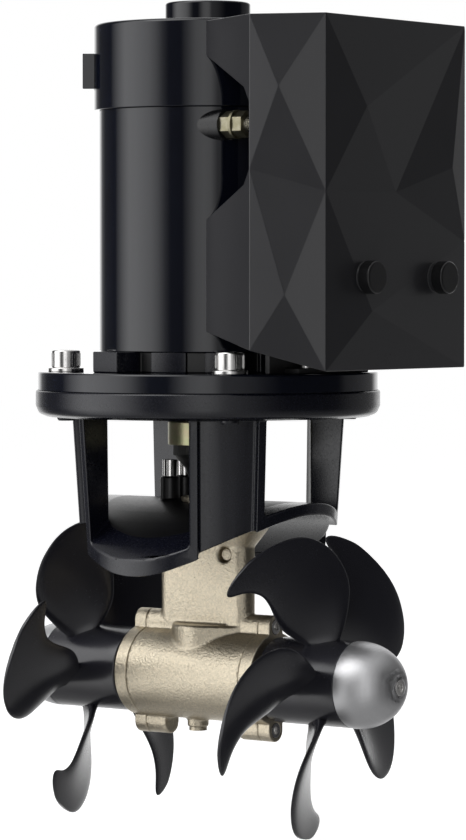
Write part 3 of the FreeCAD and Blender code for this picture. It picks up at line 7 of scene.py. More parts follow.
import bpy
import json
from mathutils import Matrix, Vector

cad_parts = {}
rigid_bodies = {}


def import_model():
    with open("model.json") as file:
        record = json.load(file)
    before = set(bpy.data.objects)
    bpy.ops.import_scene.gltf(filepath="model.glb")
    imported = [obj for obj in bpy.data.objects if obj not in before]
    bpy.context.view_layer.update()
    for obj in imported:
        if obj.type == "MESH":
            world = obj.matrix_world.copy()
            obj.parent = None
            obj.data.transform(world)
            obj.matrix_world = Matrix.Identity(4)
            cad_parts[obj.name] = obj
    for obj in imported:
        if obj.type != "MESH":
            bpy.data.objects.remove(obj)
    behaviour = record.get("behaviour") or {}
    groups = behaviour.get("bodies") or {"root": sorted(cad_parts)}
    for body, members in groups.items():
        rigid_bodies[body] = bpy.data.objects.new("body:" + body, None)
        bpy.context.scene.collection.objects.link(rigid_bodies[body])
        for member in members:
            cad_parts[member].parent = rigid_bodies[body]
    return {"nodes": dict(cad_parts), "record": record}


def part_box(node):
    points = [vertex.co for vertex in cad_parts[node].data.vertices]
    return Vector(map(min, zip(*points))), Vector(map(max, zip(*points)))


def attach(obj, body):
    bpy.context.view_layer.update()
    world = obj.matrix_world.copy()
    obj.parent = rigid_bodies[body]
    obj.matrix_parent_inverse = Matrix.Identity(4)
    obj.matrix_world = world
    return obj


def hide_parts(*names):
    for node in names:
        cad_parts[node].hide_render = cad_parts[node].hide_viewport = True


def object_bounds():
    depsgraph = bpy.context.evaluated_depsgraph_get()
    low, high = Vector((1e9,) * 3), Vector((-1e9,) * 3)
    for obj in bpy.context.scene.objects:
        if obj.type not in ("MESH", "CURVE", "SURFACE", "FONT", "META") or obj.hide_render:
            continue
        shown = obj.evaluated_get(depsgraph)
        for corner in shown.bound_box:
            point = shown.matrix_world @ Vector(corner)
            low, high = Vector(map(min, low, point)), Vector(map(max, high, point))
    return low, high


bl_info = {
    "name": "Bow Thruster",
    "version": (1, 0, 0),
    "blender": (4, 5, 0),
    "location": "3D View > Sidebar > Thruster",
    "description": "Finishes, castings, fasteners and propellers of a tunnel thruster",
    "category": "Object",
}

import json
import math

import bmesh
import bpy
from bpy.props import FloatProperty, FloatVectorProperty, IntProperty, PointerProperty
from mathutils import Matrix, Vector

for leftover in list(bpy.data.objects):
    bpy.data.objects.remove(leftover)
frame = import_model()
CAD_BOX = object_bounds()
FINISHES = {}

MM = 0.001
CAMERA_TURN = math.radians(36.5)
TO_CAMERA = Vector((math.sin(CAMERA_TURN), -math.cos(CAMERA_TURN), 0))
TO_RIGHT = Vector((math.cos(CAMERA_TURN), math.sin(CAMERA_TURN), 0))
DRUM_MATT_SHADE = 58.2 * MM        # radius about Z within which the support is matt and darkened as painted shade
SADDLE_UNDERSIDE = 96 * MM     # radius about X that parts the saddle's floor from its underside


# ------------------------------------------------------------------------- settings

class MotorSettings(bpy.types.PropertyGroup):
    paint: FloatVectorProperty(
        name="Enamel", description="Colour of the motor's enamel",
        subtype="COLOR", size=3, min=0, max=1, default=(0.0035, 0.0045, 0.0095))
    edge: FloatProperty(
        name="Edge round", description="Rounding of the motor's pressed edges",
        subtype="DISTANCE", unit="LENGTH", default=0.9 * MM, min=0, max=2 * MM)


class CastingSettings(bpy.types.PropertyGroup):
    black: FloatVectorProperty(
        name="Casting paint", description="Colour of the support and the drive-end shield",
        subtype="COLOR", size=3, min=0, max=1, default=(0.004, 0.0045, 0.009))
    bronze: FloatVectorProperty(
        name="Bronze", description="Colour of the gear leg's blasted bronze",
        subtype="COLOR", size=3, min=0, max=1, default=(0.615, 0.55, 0.43))
    support_edge: FloatProperty(
        name="Support edge", description="Rounding of the support's cast edges",
        subtype="DISTANCE", unit="LENGTH", default=1.3 * MM, min=0, max=2 * MM)
    flange_edge: FloatProperty(
        name="Flange edge", description="Rounding of the motor flange's turned edges",
        subtype="DISTANCE", unit="LENGTH", default=0.5 * MM, min=0, max=2 * MM)
    leg_voxel: FloatProperty(
        name="Leg detail", description="Cell size of the gear leg's cast skin",
        subtype="DISTANCE", unit="LENGTH", default=0.8 * MM, min=0.6 * MM, max=3 * MM)
    leg_softness: IntProperty(
        name="Leg softness", description="Rounds of smoothing that make the cast fillets",
        default=4, min=0, max=30)


class CoverSettings(bpy.types.PropertyGroup):
    plastic: FloatVectorProperty(
        name="Cover plastic", description="Colour of the relay box's cover",
        subtype="COLOR", size=3, min=0, max=1, default=(0.019, 0.019, 0.0215))
    edge: FloatProperty(
        name="Facet edge", description="Rounding of the edges between the facets",
        subtype="DISTANCE", unit="LENGTH", default=0.4 * MM, min=0, max=2 * MM)


class PropellerSettings(bpy.types.PropertyGroup):
    plastic: FloatVectorProperty(
        name="Propeller plastic", description="Colour of both propellers",
        subtype="COLOR", size=3, min=0, max=1, default=(0.014, 0.014, 0.019))
    blades: IntProperty(
        name="Blades", description="Number of blades on each propeller",
        default=5, min=2, max=9)
    pitch: FloatProperty(
        name="Pitch", description="Advance of the blades' screw in one turn",
        subtype="DISTANCE", unit="LENGTH", default=0.190, min=0.05, max=0.4)
    root: FloatProperty(
        name="Root thickness", description="Thickness of a blade beside the hub",
        subtype="DISTANCE", unit="LENGTH", default=4.6 * MM, min=1 * MM, max=9 * MM)
    tip: FloatProperty(
        name="Tip thickness", description="Thickness of a blade at its tip",
        subtype="DISTANCE", unit="LENGTH", default=2.2 * MM, min=0.5 * MM, max=5 * MM)


class FastenerSettings(bpy.types.PropertyGroup):
    steel: FloatVectorProperty(
        name="Stainless", description="Colour of the polished screws",
        subtype="COLOR", size=3, min=0, max=1, default=(0.74, 0.73, 0.72))
    bolt_circle: FloatProperty(
        name="Bolt circle", description="Radius of the ring of flange screws",
        subtype="DISTANCE", unit="LENGTH", default=80.5 * MM, min=0.05, max=0.1)
    flange_screws: IntProperty(
        name="Flange screws", description="Number of screws in the flange",
        default=4, min=2, max=12)


class StageSettings(bpy.types.PropertyGroup):
    floor: FloatVectorProperty(
        name="Floor", description="Colour of the floor",
        subtype="COLOR", size=3, min=0, max=1, default=(0.9, 0.9, 0.9))
    distance: FloatProperty(
        name="Camera distance", description="From the motor's axis to the camera",
        subtype="DISTANCE", unit="LENGTH", default=2.16, min=0.5, max=10)
    height: FloatProperty(
        name="Camera height", description="Height of the camera over the propeller shaft",
        subtype="DISTANCE", unit="LENGTH", default=0.2193, min=-1, max=3)


# ------------------------------------------------------------------ shader arithmetic

class Val:
    """A number that a shader socket gives; sums with it add Math nodes."""

    def __init__(self, finish, socket):
        self.finish, self.socket = finish, socket

    def _do(self, operation, other=None, swap=False):
        pair = (other, self) if swap else (self, other)
        return self.finish.node("ShaderNodeMath", {"operation": operation},
                                {i: v for i, v in enumerate(pair) if v is not None})

    def __add__(self, other):
        return self._do("ADD", other)

    def __radd__(self, other):
        return self._do("ADD", other)

    def __sub__(self, other):
        return self._do("SUBTRACT", other)

    def __rsub__(self, other):
        return self._do("SUBTRACT", other, swap=True)

    def __mul__(self, other):
        return self._do("MULTIPLY", other)

    def __rmul__(self, other):
        return self._do("MULTIPLY", other)

    def __truediv__(self, other):
        return self._do("DIVIDE", other)

    def sine(self):
        return self._do("SINE")

    def root(self):
        return self._do("SQRT")


class Finish:
    """A material under construction: its tree, its patterns and its one shader."""

    def __init__(self, name, tree=None):
        if tree is None:
            self.material = bpy.data.materials.new(name)
            self.material.use_nodes = True
            tree = self.material.node_tree
        self.tree = tree
        self.tree.nodes.clear()
        self._place = None

    def node(self, kind, settings=None, sockets=None, out=0):
        """Adds a node: its settings first, then the values or links of its sockets."""
        made = self.tree.nodes.new(kind)
        for key, value in (settings or {}).items():
            if key == "stops":
                stops = made.color_ramp.elements
                for stop, (place, level) in zip((stops[0], stops[-1]), (value[0], value[-1])):
                    stop.position, stop.color = place, (level, level, level, 1)
                for place, level in value[1:-1]:
                    stops.new(place).color = (level, level, level, 1)
            else:
                setattr(made, key, value)
        for key, value in (sockets or {}).items():
            self.feed(made.inputs[key], value)
        return Val(self, made.outputs[out])

    def feed(self, slot, value):
        """Links a Val to a node's input, or sets a plain value or colour there."""
        if isinstance(value, Val):
            self.tree.links.new(value.socket, slot)
        elif isinstance(value, tuple) and len(value) == 3 and slot.type == "RGBA":
            slot.default_value = (*value, 1)
        else:
            slot.default_value = value

    def place(self, stretch=(1, 1, 1)):
        """Object coordinates, in metres, stretched along each axis."""
        if self._place is None:
            self._place = self.node("ShaderNodeTexCoord", out="Object")
        if stretch == (1, 1, 1):
            return self._place
        return self.node("ShaderNodeMapping", {}, {"Vector": self._place, "Scale": stretch})

    def grain(self, size_mm, detail=2.0, rough=0.5, stretch=(1, 1, 1)):
        """Soft noise from 0 to 1 whose lumps are about size_mm across."""
        return self.node("ShaderNodeTexNoise", {"noise_dimensions": "3D"}, {
            "Vector": self.place(stretch), "Scale": 1000.0 / size_mm,
            "Detail": detail, "Roughness": rough})

    def pits(self, size_mm):
        """Distance to the nearest of many scattered points."""
        return self.node("ShaderNodeTexVoronoi", {"feature": "F1"}, {
            "Vector": self.place(), "Scale": 1000.0 / size_mm})

    def span(self, value, low, high, to_low=0.0, to_high=1.0):
        """The value carried from one range to another, and held at its ends."""
        return self.node("ShaderNodeMapRange", {"clamp": True}, {
            "Value": value, "From Min": low, "From Max": high,
            "To Min": to_low, "To Max": to_high})

    def blend(self, mask, low, high):
        """One colour turning into another as the mask goes from 0 to 1."""
        made = self.tree.nodes.new("ShaderNodeMix")
        made.data_type = "RGBA"
        self.feed(made.inputs[0], mask)
        self.feed(made.inputs[6], low)
        self.feed(made.inputs[7], high)
        return Val(self, made.outputs[2])

    def axis(self, letter):
        """Distance along one axis of the object."""
        parts = self.tree.nodes.new("ShaderNodeSeparateXYZ")
        self.feed(parts.inputs[0], self.place())
        return Val(self, parts.outputs["XYZ".index(letter)])

    def ring(self, axis):
        """Distance from the line through the origin along that axis."""
        first, second = [self.axis(letter) for letter in "XYZ" if letter != axis]
        return (first * first + second * second).root()

    def bump(self, height, strength, depth_mm):
        """The surface's normal, tilted by a pattern of heights."""
        return self.node("ShaderNodeBump", {}, {
            "Height": height, "Strength": strength, "Distance": depth_mm * MM})

    def surface(self, **sockets):
        """Ends the material in one shader with these values or links."""
        shader = self.tree.nodes.new("ShaderNodeBsdfPrincipled")
        for key, value in sockets.items():
            self.feed(shader.inputs[key.replace("_", " ").title().replace("Ior", "IOR")], value)
        out = self.tree.nodes.new("ShaderNodeOutputMaterial")
        self.tree.links.new(shader.outputs[0], out.inputs[0])
        return self.material


def high(node):
    """The upper corner of a node's box."""
    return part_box(node)[1]


def low(node):
    """The lower corner of a node's box."""
    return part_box(node)[0]


def shade(colour, factor):
    """The colour made lighter or darker."""
    return tuple(min(1.0, part * factor) for part in colour)


# ------------------------------------------------------------------------- finishes

def enamel(name, colour, rough):
    """Sprayed enamel: faint orange peel, and polish that varies a little."""
    f = Finish(name)
    drift = f.grain(28, 3)
    speck = f.grain(0.9, 2)
    return f.surface(
        base_color=f.blend(drift, shade(colour, 0.85), shade(colour, 1.2)),
        roughness=drift * 0.05 + speck * 0.03 + (rough - 0.04),
        specular_ior_level=0.5,
        normal=f.bump(f.grain(1.6, 2) * 0.7 + speck * 0.3, 0.012, 0.25))


def cast_paint(name, colour, rough, matt_shade_radius=None):
    """Paint over a sand casting, matt where the spray is thin within a radius of the Z axis, and
    darkened there as painted shade.
    """
    f = Finish(name)
    skin = f.grain(1.3, 4, 0.6)
    lump = f.grain(9, 3)
    paint = f.blend(skin, shade(colour, 0.8), shade(colour, 1.35))
    dull = f.span(skin, 0.3, 0.7, rough + 0.05, rough - 0.03) + lump * 0.05
    if matt_shade_radius:
        # Within the drum the paint turns matt, and its colour drops to a tenth: painted shade.
        inside = (f.span(f.ring("Z"), matt_shade_radius, matt_shade_radius + 0.3 * MM, 1.0, 0.0)
                  * f.span(f.ring("X"), SADDLE_UNDERSIDE, SADDLE_UNDERSIDE + 1 * MM))
        paint = f.blend(inside, paint, shade(colour, 0.1))
        dull = dull + inside * 0.12
    return f.surface(
        base_color=paint, roughness=dull, specular_ior_level=0.5,
        normal=f.bump(skin * 0.6 + lump * 0.6, 0.1, 0.3))


def moulded(name, colour, rough, grain_mm, strength, specular=0.4):
    """Moulded plastic: a fine etched skin and a slow drift in its shine."""
    f = Finish(name)
    etched = f.grain(grain_mm, 3, 0.55)
    drift = f.grain(40, 3)
    return f.surface(
        base_color=f.blend(etched * 0.6 + drift * 0.4, shade(colour, 0.85), shade(colour, 1.18)),
        roughness=etched * 0.10 + drift * 0.08 + (rough - 0.09),
        specular_ior_level=specular,
        normal=f.bump(etched, strength, 0.2))


def blasted_bronze(name, colour):
    """Bead-blasted bronze: sparkling grain, warm and pale patches, tiny pits."""
    f = Finish(name)
    sand = f.grain(1.25, 3, 0.6)
    cloud = f.grain(14, 4, 0.6)
    pit = f.span(f.pits(2.2), 0.02, 0.16, 1.0, 0.0) * f.span(cloud, 0.45, 0.6)
    warm = f.blend(cloud, shade((colour[0], colour[1] * 0.97, colour[2] * 0.92), 0.9),
                   shade(colour, 1.12))
    speckled = f.blend(f.span(sand, 0.35, 0.72), shade(colour, 0.72), warm)
    return f.surface(
        base_color=f.blend(pit * 0.6, speckled, shade(colour, 0.35)),
        metallic=0.94, roughness=sand * 0.18 + cloud * 0.08 + 0.23,
        normal=f.bump(sand * 0.8 + cloud * 0.3 - pit * 0.5, 0.85, 0.6))


def turned_metal(name, colour, rough, axis, pitch_mm):
    """Metal turned on a lathe about an axis through the origin: fine rings, faint clouds."""
    f = Finish(name)
    wobble = f.grain(6, 2) * 0.0004
    rings = ((f.ring(axis) + f.axis(axis) + wobble) * (2000.0 * math.pi / pitch_mm)).sine()
    cloud = f.grain(11, 4, 0.6)
    return f.surface(
        base_color=f.blend(cloud, shade(colour, 0.88), shade(colour, 1.12)),
        metallic=1.0, roughness=rings * 0.03 + cloud * 0.12 + (rough - 0.04),
        normal=f.bump(rings * 0.5 + f.grain(0.5, 2) * 0.4, 0.04, 0.05))


def polished(name, colour, rough, paint=None, level=0.0):
    """Polished steel with faint drawn lines and dull smudges, and paint below a level."""
    f = Finish(name)
    smudge = f.span(f.grain(7, 3), 0.45, 0.75)
    lines = f.grain(0.5, 3, 0.6, stretch=(1, 1, 0.12))
    metal = f.blend(smudge, colour, shade(colour, 0.86))
    dull = smudge * 0.14 + lines * 0.08 + rough
    bare = 1.0
    if paint:
        bare = f.span(f.axis("Z"), level, level + 0.1 * MM)
        metal = f.blend(bare, paint, metal)
        dull = dull + (1 - bare) * 0.2
    return f.surface(base_color=metal, metallic=bare, roughness=dull,
                     normal=f.bump(lines, 0.05, 0.08))


def passivated(name, colour, tint, rough):
    """Zinc plate under a yellow or clear passivation that drifts in hue."""
    f = Finish(name)
    hue = f.grain(4.5, 4, 0.6)
    speck = f.grain(0.8, 2)
    return f.surface(
        base_color=f.blend(f.span(hue, 0.35, 0.68), colour, tint),
        metallic=0.9, roughness=hue * 0.12 + speck * 0.10 + (rough - 0.1),
        normal=f.bump(speck, 0.08, 0.1))


def threaded(name, colour, rough, pitch_mm):
    """Plated stud: a cut thread shown as rings along X, with painted shade darkening its grooves.
    """
    f = Finish(name)
    thread = (f.axis("X") * (2000.0 * math.pi / pitch_mm)).sine()
    wear = f.grain(3, 3)
    # The base colour halves in the thread's grooves: painted shade.
    return f.surface(
        base_color=f.blend(f.span(thread, -0.6, 0.5), shade(colour, 0.5), colour),
        metallic=0.95, roughness=wear * 0.15 + rough,
        normal=f.bump(thread, 0.7, 0.35))


def rubbery(name, colour, rough):
    """Moulded rubber with a pale bloom."""
    f = Finish(name)
    bloom = f.grain(6, 4, 0.6)
    speck = f.grain(0.6, 2)
    return f.surface(
        base_color=f.blend(bloom, colour, shade(colour, 1.7)),
        roughness=bloom * 0.12 + (rough - 0.05), specular_ior_level=0.3,
        normal=f.bump(speck, 0.15, 0.12))


def wound(name, colour, wire_mm=1.6):
    """Lacquered copper wire in close turns, with painted shade darkening the gaps between turns.
    """
    f = Finish(name)
    wire = (f.axis("Z") * (2000.0 * math.pi / wire_mm)).sine() * 0.5 + f.grain(2.5, 2)
    # The base colour halves mostly between the turns: painted shade.
    return f.surface(
        base_color=f.blend(f.span(wire, 0.1, 0.9), shade(colour, 0.5), colour),
        metallic=0.8, roughness=wire * 0.1 + 0.3, normal=f.bump(wire, 0.5, 0.3))


def make_finishes(scene):
    """Every finish by its name."""
    motor, cast, cover = scene.thruster_motor, scene.thruster_castings, scene.thruster_cover
    paint, black, lid = tuple(motor.paint), tuple(cast.black), tuple(cover.plastic)
    screw, steel = tuple(scene.thruster_propellers.plastic), tuple(scene.thruster_fasteners.steel)
    tips = low("flange_bolts").z + 2.6 * MM
    made = (
        (enamel, "motor_paint", paint, 0.065),
        (enamel, "flange_black", shade(paint, 1.1), 0.09),
        (cast_paint, "cast_black", black, 0.22, DRUM_MATT_SHADE),
        (cast_paint, "coupling_black", (0.014, 0.014, 0.014), 0.36),
        (cast_paint, "ferrite", (0.06, 0.06, 0.065), 0.55),
        (moulded, "cover_plastic", lid, 0.31, 0.8, 0.08, 0.5),
        (moulded, "knob_plastic", shade(lid, 0.35), 0.24, 0.6, 0.05),
        (moulded, "propeller_plastic", screw, 0.25, 1.4, 0.05, 0.6),
        (moulded, "bracket_steel", (0.02, 0.02, 0.021), 0.5, 1.1, 0.12),
        (moulded, "insulator", (0.006, 0.006, 0.007), 0.26, 1.0, 0.06),
        (moulded, "carbon", (0.04, 0.04, 0.042), 0.6, 0.5, 0.2),
        (blasted_bronze, "bronze", tuple(cast.bronze)),
        (turned_metal, "zinc_anode", (0.50, 0.50, 0.51), 0.41, "X", 0.9),
        (turned_metal, "shaft_steel", (0.52, 0.52, 0.53), 0.28, "Z", 0.7),
        (turned_metal, "bearing_steel", (0.46, 0.46, 0.47), 0.3, "Z", 0.9),
        (turned_metal, "brass_parts", (0.62, 0.49, 0.22), 0.3, "Z", 1.1),
        (polished, "stainless", steel, 0.12),
        (polished, "flange_steel", steel, 0.12, black, tips),
        (passivated, "olive_zinc", (0.40, 0.41, 0.24), (0.52, 0.45, 0.30), 0.36),
        (passivated, "zinc_plate", (0.20, 0.185, 0.12), (0.30, 0.28, 0.21), 0.32),
        (threaded, "stud_thread", (0.60, 0.57, 0.45), 0.28, 1.25),
        (rubbery, "spider_rubber", (0.05, 0.05, 0.05), 0.6),
        (rubbery, "seal_rubber", (0.012, 0.012, 0.012), 0.55),
        (wound, "copper", (0.68, 0.34, 0.18)),
    )
    return {name: recipe(name, *sizes) for recipe, name, *sizes in made}


# ------------------------------------------------------------------------ mesh tools

def new_piece(name, mesh, body, slot, replaced, finish=None, smooth=32):
    """Puts a finished mesh in the scene for a node of the frame and ties it to its body."""
    mesh.name = name
    mesh.materials.clear()
    mesh.materials.append(FINISHES[finish or slot])
    mesh.shade_smooth()
    mesh.set_sharp_from_angle(angle=math.radians(smooth))
    piece = loose(mesh, name)
    flats = piece.modifiers.new("flats", "WEIGHTED_NORMAL")
    flats.keep_sharp = True
    bake(piece).name = name
    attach(piece, body)
    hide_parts(replaced)


def joined_mesh(node):
    """The node's own triangles, joined into closed surfaces with flat faces made whole."""
    mesh = frame["nodes"][node].data.copy()
    work = bmesh.new()
    work.from_mesh(mesh)
    bmesh.ops.remove_doubles(work, verts=work.verts, dist=2e-6)
    bmesh.ops.dissolve_limit(work, angle_limit=math.radians(0.6),
                             verts=work.verts, edges=work.edges)
    work.to_mesh(mesh)
    work.free()
    if mesh.attributes.get("custom_normal"):
        mesh.attributes.remove(mesh.attributes["custom_normal"])
    return mesh


def bake(piece):
    """Applies the piece's modifiers to its mesh."""
    graph = bpy.context.evaluated_depsgraph_get()
    mesh = bpy.data.meshes.new_from_object(piece.evaluated_get(graph))
    piece.modifiers.clear()
    old, piece.data = piece.data, mesh
    bpy.data.meshes.remove(old)
    return mesh


def loose(mesh, name="work"):
    """Links a new object at the origin that holds the mesh."""
    piece = bpy.data.objects.new(name, mesh)
    bpy.context.scene.collection.objects.link(piece)
    return piece


def taken(piece):
    """The mesh of a working object, which is then removed."""
    mesh = bake(piece)
    bpy.data.objects.remove(piece)
    return mesh


def rounded_copy(node, edge, segments=3, angle=30):
    """The node's form again, with its hard edges rounded."""
    piece = loose(joined_mesh(node))
    bevel = piece.modifiers.new("edges", "BEVEL")
    bevel.width = edge
    bevel.segments = segments
    bevel.limit_method = "ANGLE"
    bevel.angle_limit = math.radians(angle)
    bevel.use_clamp_overlap = False
    bevel.miter_outer = "MITER_ARC"
    return taken(piece)


def cast_copy(node, voxel, rounds):
    """The node's form again as one cast skin, with soft fillets in its corners."""
    piece = loose(joined_mesh(node))
    remesh = piece.modifiers.new("skin", "REMESH")
    remesh.mode = "VOXEL"
    remesh.voxel_size = voxel
    soft = piece.modifiers.new("fillets", "SMOOTH")
    soft.factor = 0.5
    soft.iterations = rounds
    return taken(piece)


def dress(node, mesh, slot, body="root", smooth=32):
    """Stands a mesh in for a node of the frame, named after it."""
    new_piece(node + "_form", mesh, body, slot, node, smooth=smooth)


def dress_rounded(slot, edge, nodes, body="root", segments=2):
    """Stands rounded copies in for several nodes of one finish."""
    for node in nodes:
        dress(node, rounded_copy(node, edge, segments), slot, body)


def meshed(work, name):
    """Turns the faces at work into a mesh."""
    mesh = bpy.data.meshes.new(name)
    work.to_mesh(mesh)
    work.free()
    return mesh


def filleted(corners, steps=4):
    """A closed outline with each (a, b, radius) corner rounded off."""
    outline = []
    count = len(corners)
    for index, (a, b, radius) in enumerate(corners):
        here = Vector((a, b))
        before = Vector(corners[index - 1][:2]) - here
        after = Vector(corners[(index + 1) % count][:2]) - here
        if radius <= 0 or before.length < 1e-9 or after.length < 1e-9:
            outline.append(here)
            continue
        half = before.angle(after) / 2
        back = min(radius / math.tan(half), before.length * 0.49, after.length * 0.49)
        radius = back * math.tan(half)
        centre = here + (before.normalized() + after.normalized()).normalized() * (
            radius / math.sin(half))
        first, last = here + before.normalized() * back, here + after.normalized() * back
        start, end = first - centre, last - centre
        turn = start.angle_signed(end)
        for step in range(steps + 1):
            angle = -turn * step / steps
            outline.append(centre + Matrix.Rotation(angle, 2) @ start)
    return outline


def turned(corners, axis="Z", steps=160):
    """A closed outline of (radius, height, corner round) swung about an axis."""
    outline = filleted(corners)
    work = bmesh.new()
    rings = []
    for index in range(steps):
        angle = 2 * math.pi * index / steps
        ring = []
        for radius, height in outline:
            a, b = radius * math.cos(angle), radius * math.sin(angle)
            at = (a, b, height) if axis == "Z" else (height, a, b)
            ring.append(work.verts.new(at))
        rings.append(ring)
    for index, ring in enumerate(rings):
        following = rings[(index + 1) % steps]
        for k in range(len(outline)):
            n = (k + 1) % len(outline)
            work.faces.new((ring[k], ring[n], following[n], following[k]))
    bmesh.ops.remove_doubles(work, verts=work.verts, dist=1e-7)
    bmesh.ops.dissolve_degenerate(work, edges=work.edges, dist=1e-8)
    bmesh.ops.recalc_face_normals(work, faces=work.faces)
    return meshed(work, "turned")


def prism(work, corners, low, top):
    """Adds a closed prism over a flat outline in X and Y."""
    floor = [work.verts.new((x, y, low)) for x, y in corners]
    roof = [work.verts.new((x, y, top)) for x, y in corners]
    work.faces.new(floor[::-1])
    work.faces.new(roof)
    for index in range(len(corners)):
        n = (index + 1) % len(corners)
        work.faces.new((floor[index], floor[n], roof[n], roof[index]))


def merged(meshes):
    """Several meshes as one."""
    work = bmesh.new()
    for mesh in meshes:
        work.from_mesh(mesh)
        bpy.data.meshes.remove(mesh)
    return meshed(work, "merged")


# -------------------------------------------------------------------- geometry trees

def ring_tree():
    """A tree that repeats the piece it is given on a ring about Z, then turns and shifts it."""
    tree = bpy.data.node_groups.new("copies_on_ring", "GeometryNodeTree")
    sockets = (("Geometry", "Geometry"), ("Count", "Int"), ("Radius", "Float"),
               ("Step", "Float"), ("Start", "Float"), ("Turn", "Vector"),
               ("Shift", "Vector"), ("Material", "Material"))
    for label, kind in sockets:
        tree.interface.new_socket(label, in_out="INPUT", socket_type="NodeSocket" + kind)
    tree.interface.new_socket("Geometry", in_out="OUTPUT", socket_type="NodeSocketGeometry")
    given = tree.nodes.new("NodeGroupInput").outputs

    def node(kind, *sources, operation=None, **named):
        """Adds a node and links its inputs, given in their order or by name."""
        made = tree.nodes.new(kind)
        if operation:
            made.operation = operation
        for slot, source in [*enumerate(sources), *named.items()]:
            tree.links.new(source, made.inputs[slot])
        return made.outputs[0]

    def maths(operation, *values):
        return node("ShaderNodeMath", *values, operation=operation)

    index = node("GeometryNodeInputIndex")
    angle = maths("ADD", maths("MULTIPLY", index, given["Step"]), given["Start"])
    at = node("ShaderNodeCombineXYZ", maths("MULTIPLY", maths("COSINE", angle), given["Radius"]),
              maths("MULTIPLY", maths("SINE", angle), given["Radius"]))
    points = node("GeometryNodePoints", Count=given["Count"], Position=at)
    spread = node("GeometryNodeInstanceOnPoints", Points=points, Instance=given["Geometry"],
                  Rotation=node("ShaderNodeCombineXYZ", Z=angle))
    moved = node("GeometryNodeTransform", Geometry=spread, Rotation=given["Turn"],
                 Translation=given["Shift"])
    whole = node("GeometryNodeRealizeInstances", moved)
    painted = node("GeometryNodeSetMaterial", Geometry=whole, Material=given["Material"])
    tree.links.new(painted, tree.nodes.new("NodeGroupOutput").inputs[0])
    return tree


def repeated(mesh, finish, **sizes):
    """The mesh repeated by the ring tree, as one plain mesh."""
    tree = bpy.data.node_groups.get("copies_on_ring") or ring_tree()
    piece = loose(mesh)
    modifier = piece.modifiers.new("copies", "NODES")
    modifier.node_group = tree
    known = {item.name: item.identifier for item in tree.interface.items_tree
             if item.in_out == "INPUT"}
    for label, value in sizes.items():
        modifier[known[label]] = value
    modifier[known["Material"]] = FINISHES[finish]
    return taken(piece)


# ---------------------------------------------------------------------------- parts

def motor_skin(edge):
    """Steel tube of the motor, its brush cover and the bearing cap."""
    radius, base, top = high("motor_housing").x, low("motor_housing").z, high("motor_housing").z
    bore = radius - 4 * MM
    tube = turned([(radius, base, 0.4 * edge), (radius, top, 0.4 * edge),
                   (bore, top, 0), (bore, base, 0)])
    new_piece("motor_tube", tube, "root", "motor_paint", "motor_housing")
    cover_r, sheet, recess, lip = 64.1 * MM, 3.4 * MM, 0.8 * MM, 1.6 * MM
    cover_low, cover_top = low("brush_cover").z, high("brush_cover").z
    wall, roof, eye_r = cover_r - sheet, cover_top - sheet, 10 * MM
    cap_r = high("bearing_cap").x
    cover = turned([
        (wall, cover_low, 0), (cover_r, cover_low, 0.6 * edge),
        (cover_r, cover_top, 2.2 * edge), (cap_r + 3 * MM, cover_top, 0.5 * MM),
        (cap_r + 2.2 * MM, cover_top - recess, 0), (eye_r, cover_top - recess, 0),
        (eye_r, roof, 0), (wall, roof, lip)])
    new_piece("brush_cover_skin", cover, "root", "motor_paint", "brush_cover")
    cap_low, cap_top = low("bearing_cap").z - recess, high("bearing_cap").z
    cap = turned([
        (0.02 * MM, cap_low, 0), (cap_r, cap_low, 0), (cap_r, cap_top, 1.6 * edge),
        (cap_r - 5 * MM, cap_top, 0.4 * MM), (cap_r - 5.6 * MM, cap_top - 0.7 * MM, 0),
        (0.02 * MM, cap_top - 0.7 * MM, 0)])
    new_piece("bearing_cap_skin", cap, "root", "motor_paint", "bearing_cap")


def socket_screw(head_r, head_h, shank_r, shank_len, flats, ribs=36):
    """Socket head screw standing on z = 0, with a knurled side and a hexagon socket."""
    deep = head_h * 0.55
    body = turned([
        (0.01 * MM, -shank_len, 0), (shank_r * 0.85, -shank_len, 0),
        (shank_r, -shank_len + shank_r * 0.2, 0), (shank_r, 0, 0), (head_r * 0.96, 0, 0),
        (head_r, head_h * 0.04, 0), (head_r, head_h, head_h * 0.1),
        (flats * 0.62, head_h, 0.2 * MM), (flats * 0.575, head_h - 0.3 * MM, 0),
        (flats * 0.575, head_h - deep, 0), (0.01 * MM, head_h - deep - flats * 0.12, 0)],
        steps=48)
    work = bmesh.new()
    across = flats / 2 / math.cos(math.pi / 6)
    for index in range(6):
        first, second = math.radians(60 * index), math.radians(60 * index + 60)
        rim = [(across * math.cos(a), across * math.sin(a)) for a in (first, second)]
        wall = [(flats * 0.58 * math.cos(a), flats * 0.58 * math.sin(a))
                for a in (second, (first + second) / 2, first)]
        prism(work, rim + wall, head_h - deep, head_h - 0.35 * MM)
    width = math.pi * head_r / ribs * 0.5
    for index in range(ribs):
        turn = Matrix.Rotation(2 * math.pi * index / ribs, 2)
        flat = [turn @ Vector(p) for p in
                ((head_r - 0.3 * MM, -width), (head_r + 0.12 * MM, -width * 0.5),
                 (head_r + 0.12 * MM, width * 0.5), (head_r - 0.3 * MM, width))]
        prism(work, flat, head_h * 0.12, head_h * 0.82)
    return merged([body, meshed(work, "detail")])


def washer(radius, hole, thick):
    """Flat washer standing on z = 0."""
    return turned([(hole, 0, 0), (radius, 0, 0.2 * MM), (radius, thick, 0.4 * MM),
                   (hole, thick, 0.2 * MM)], steps=64)


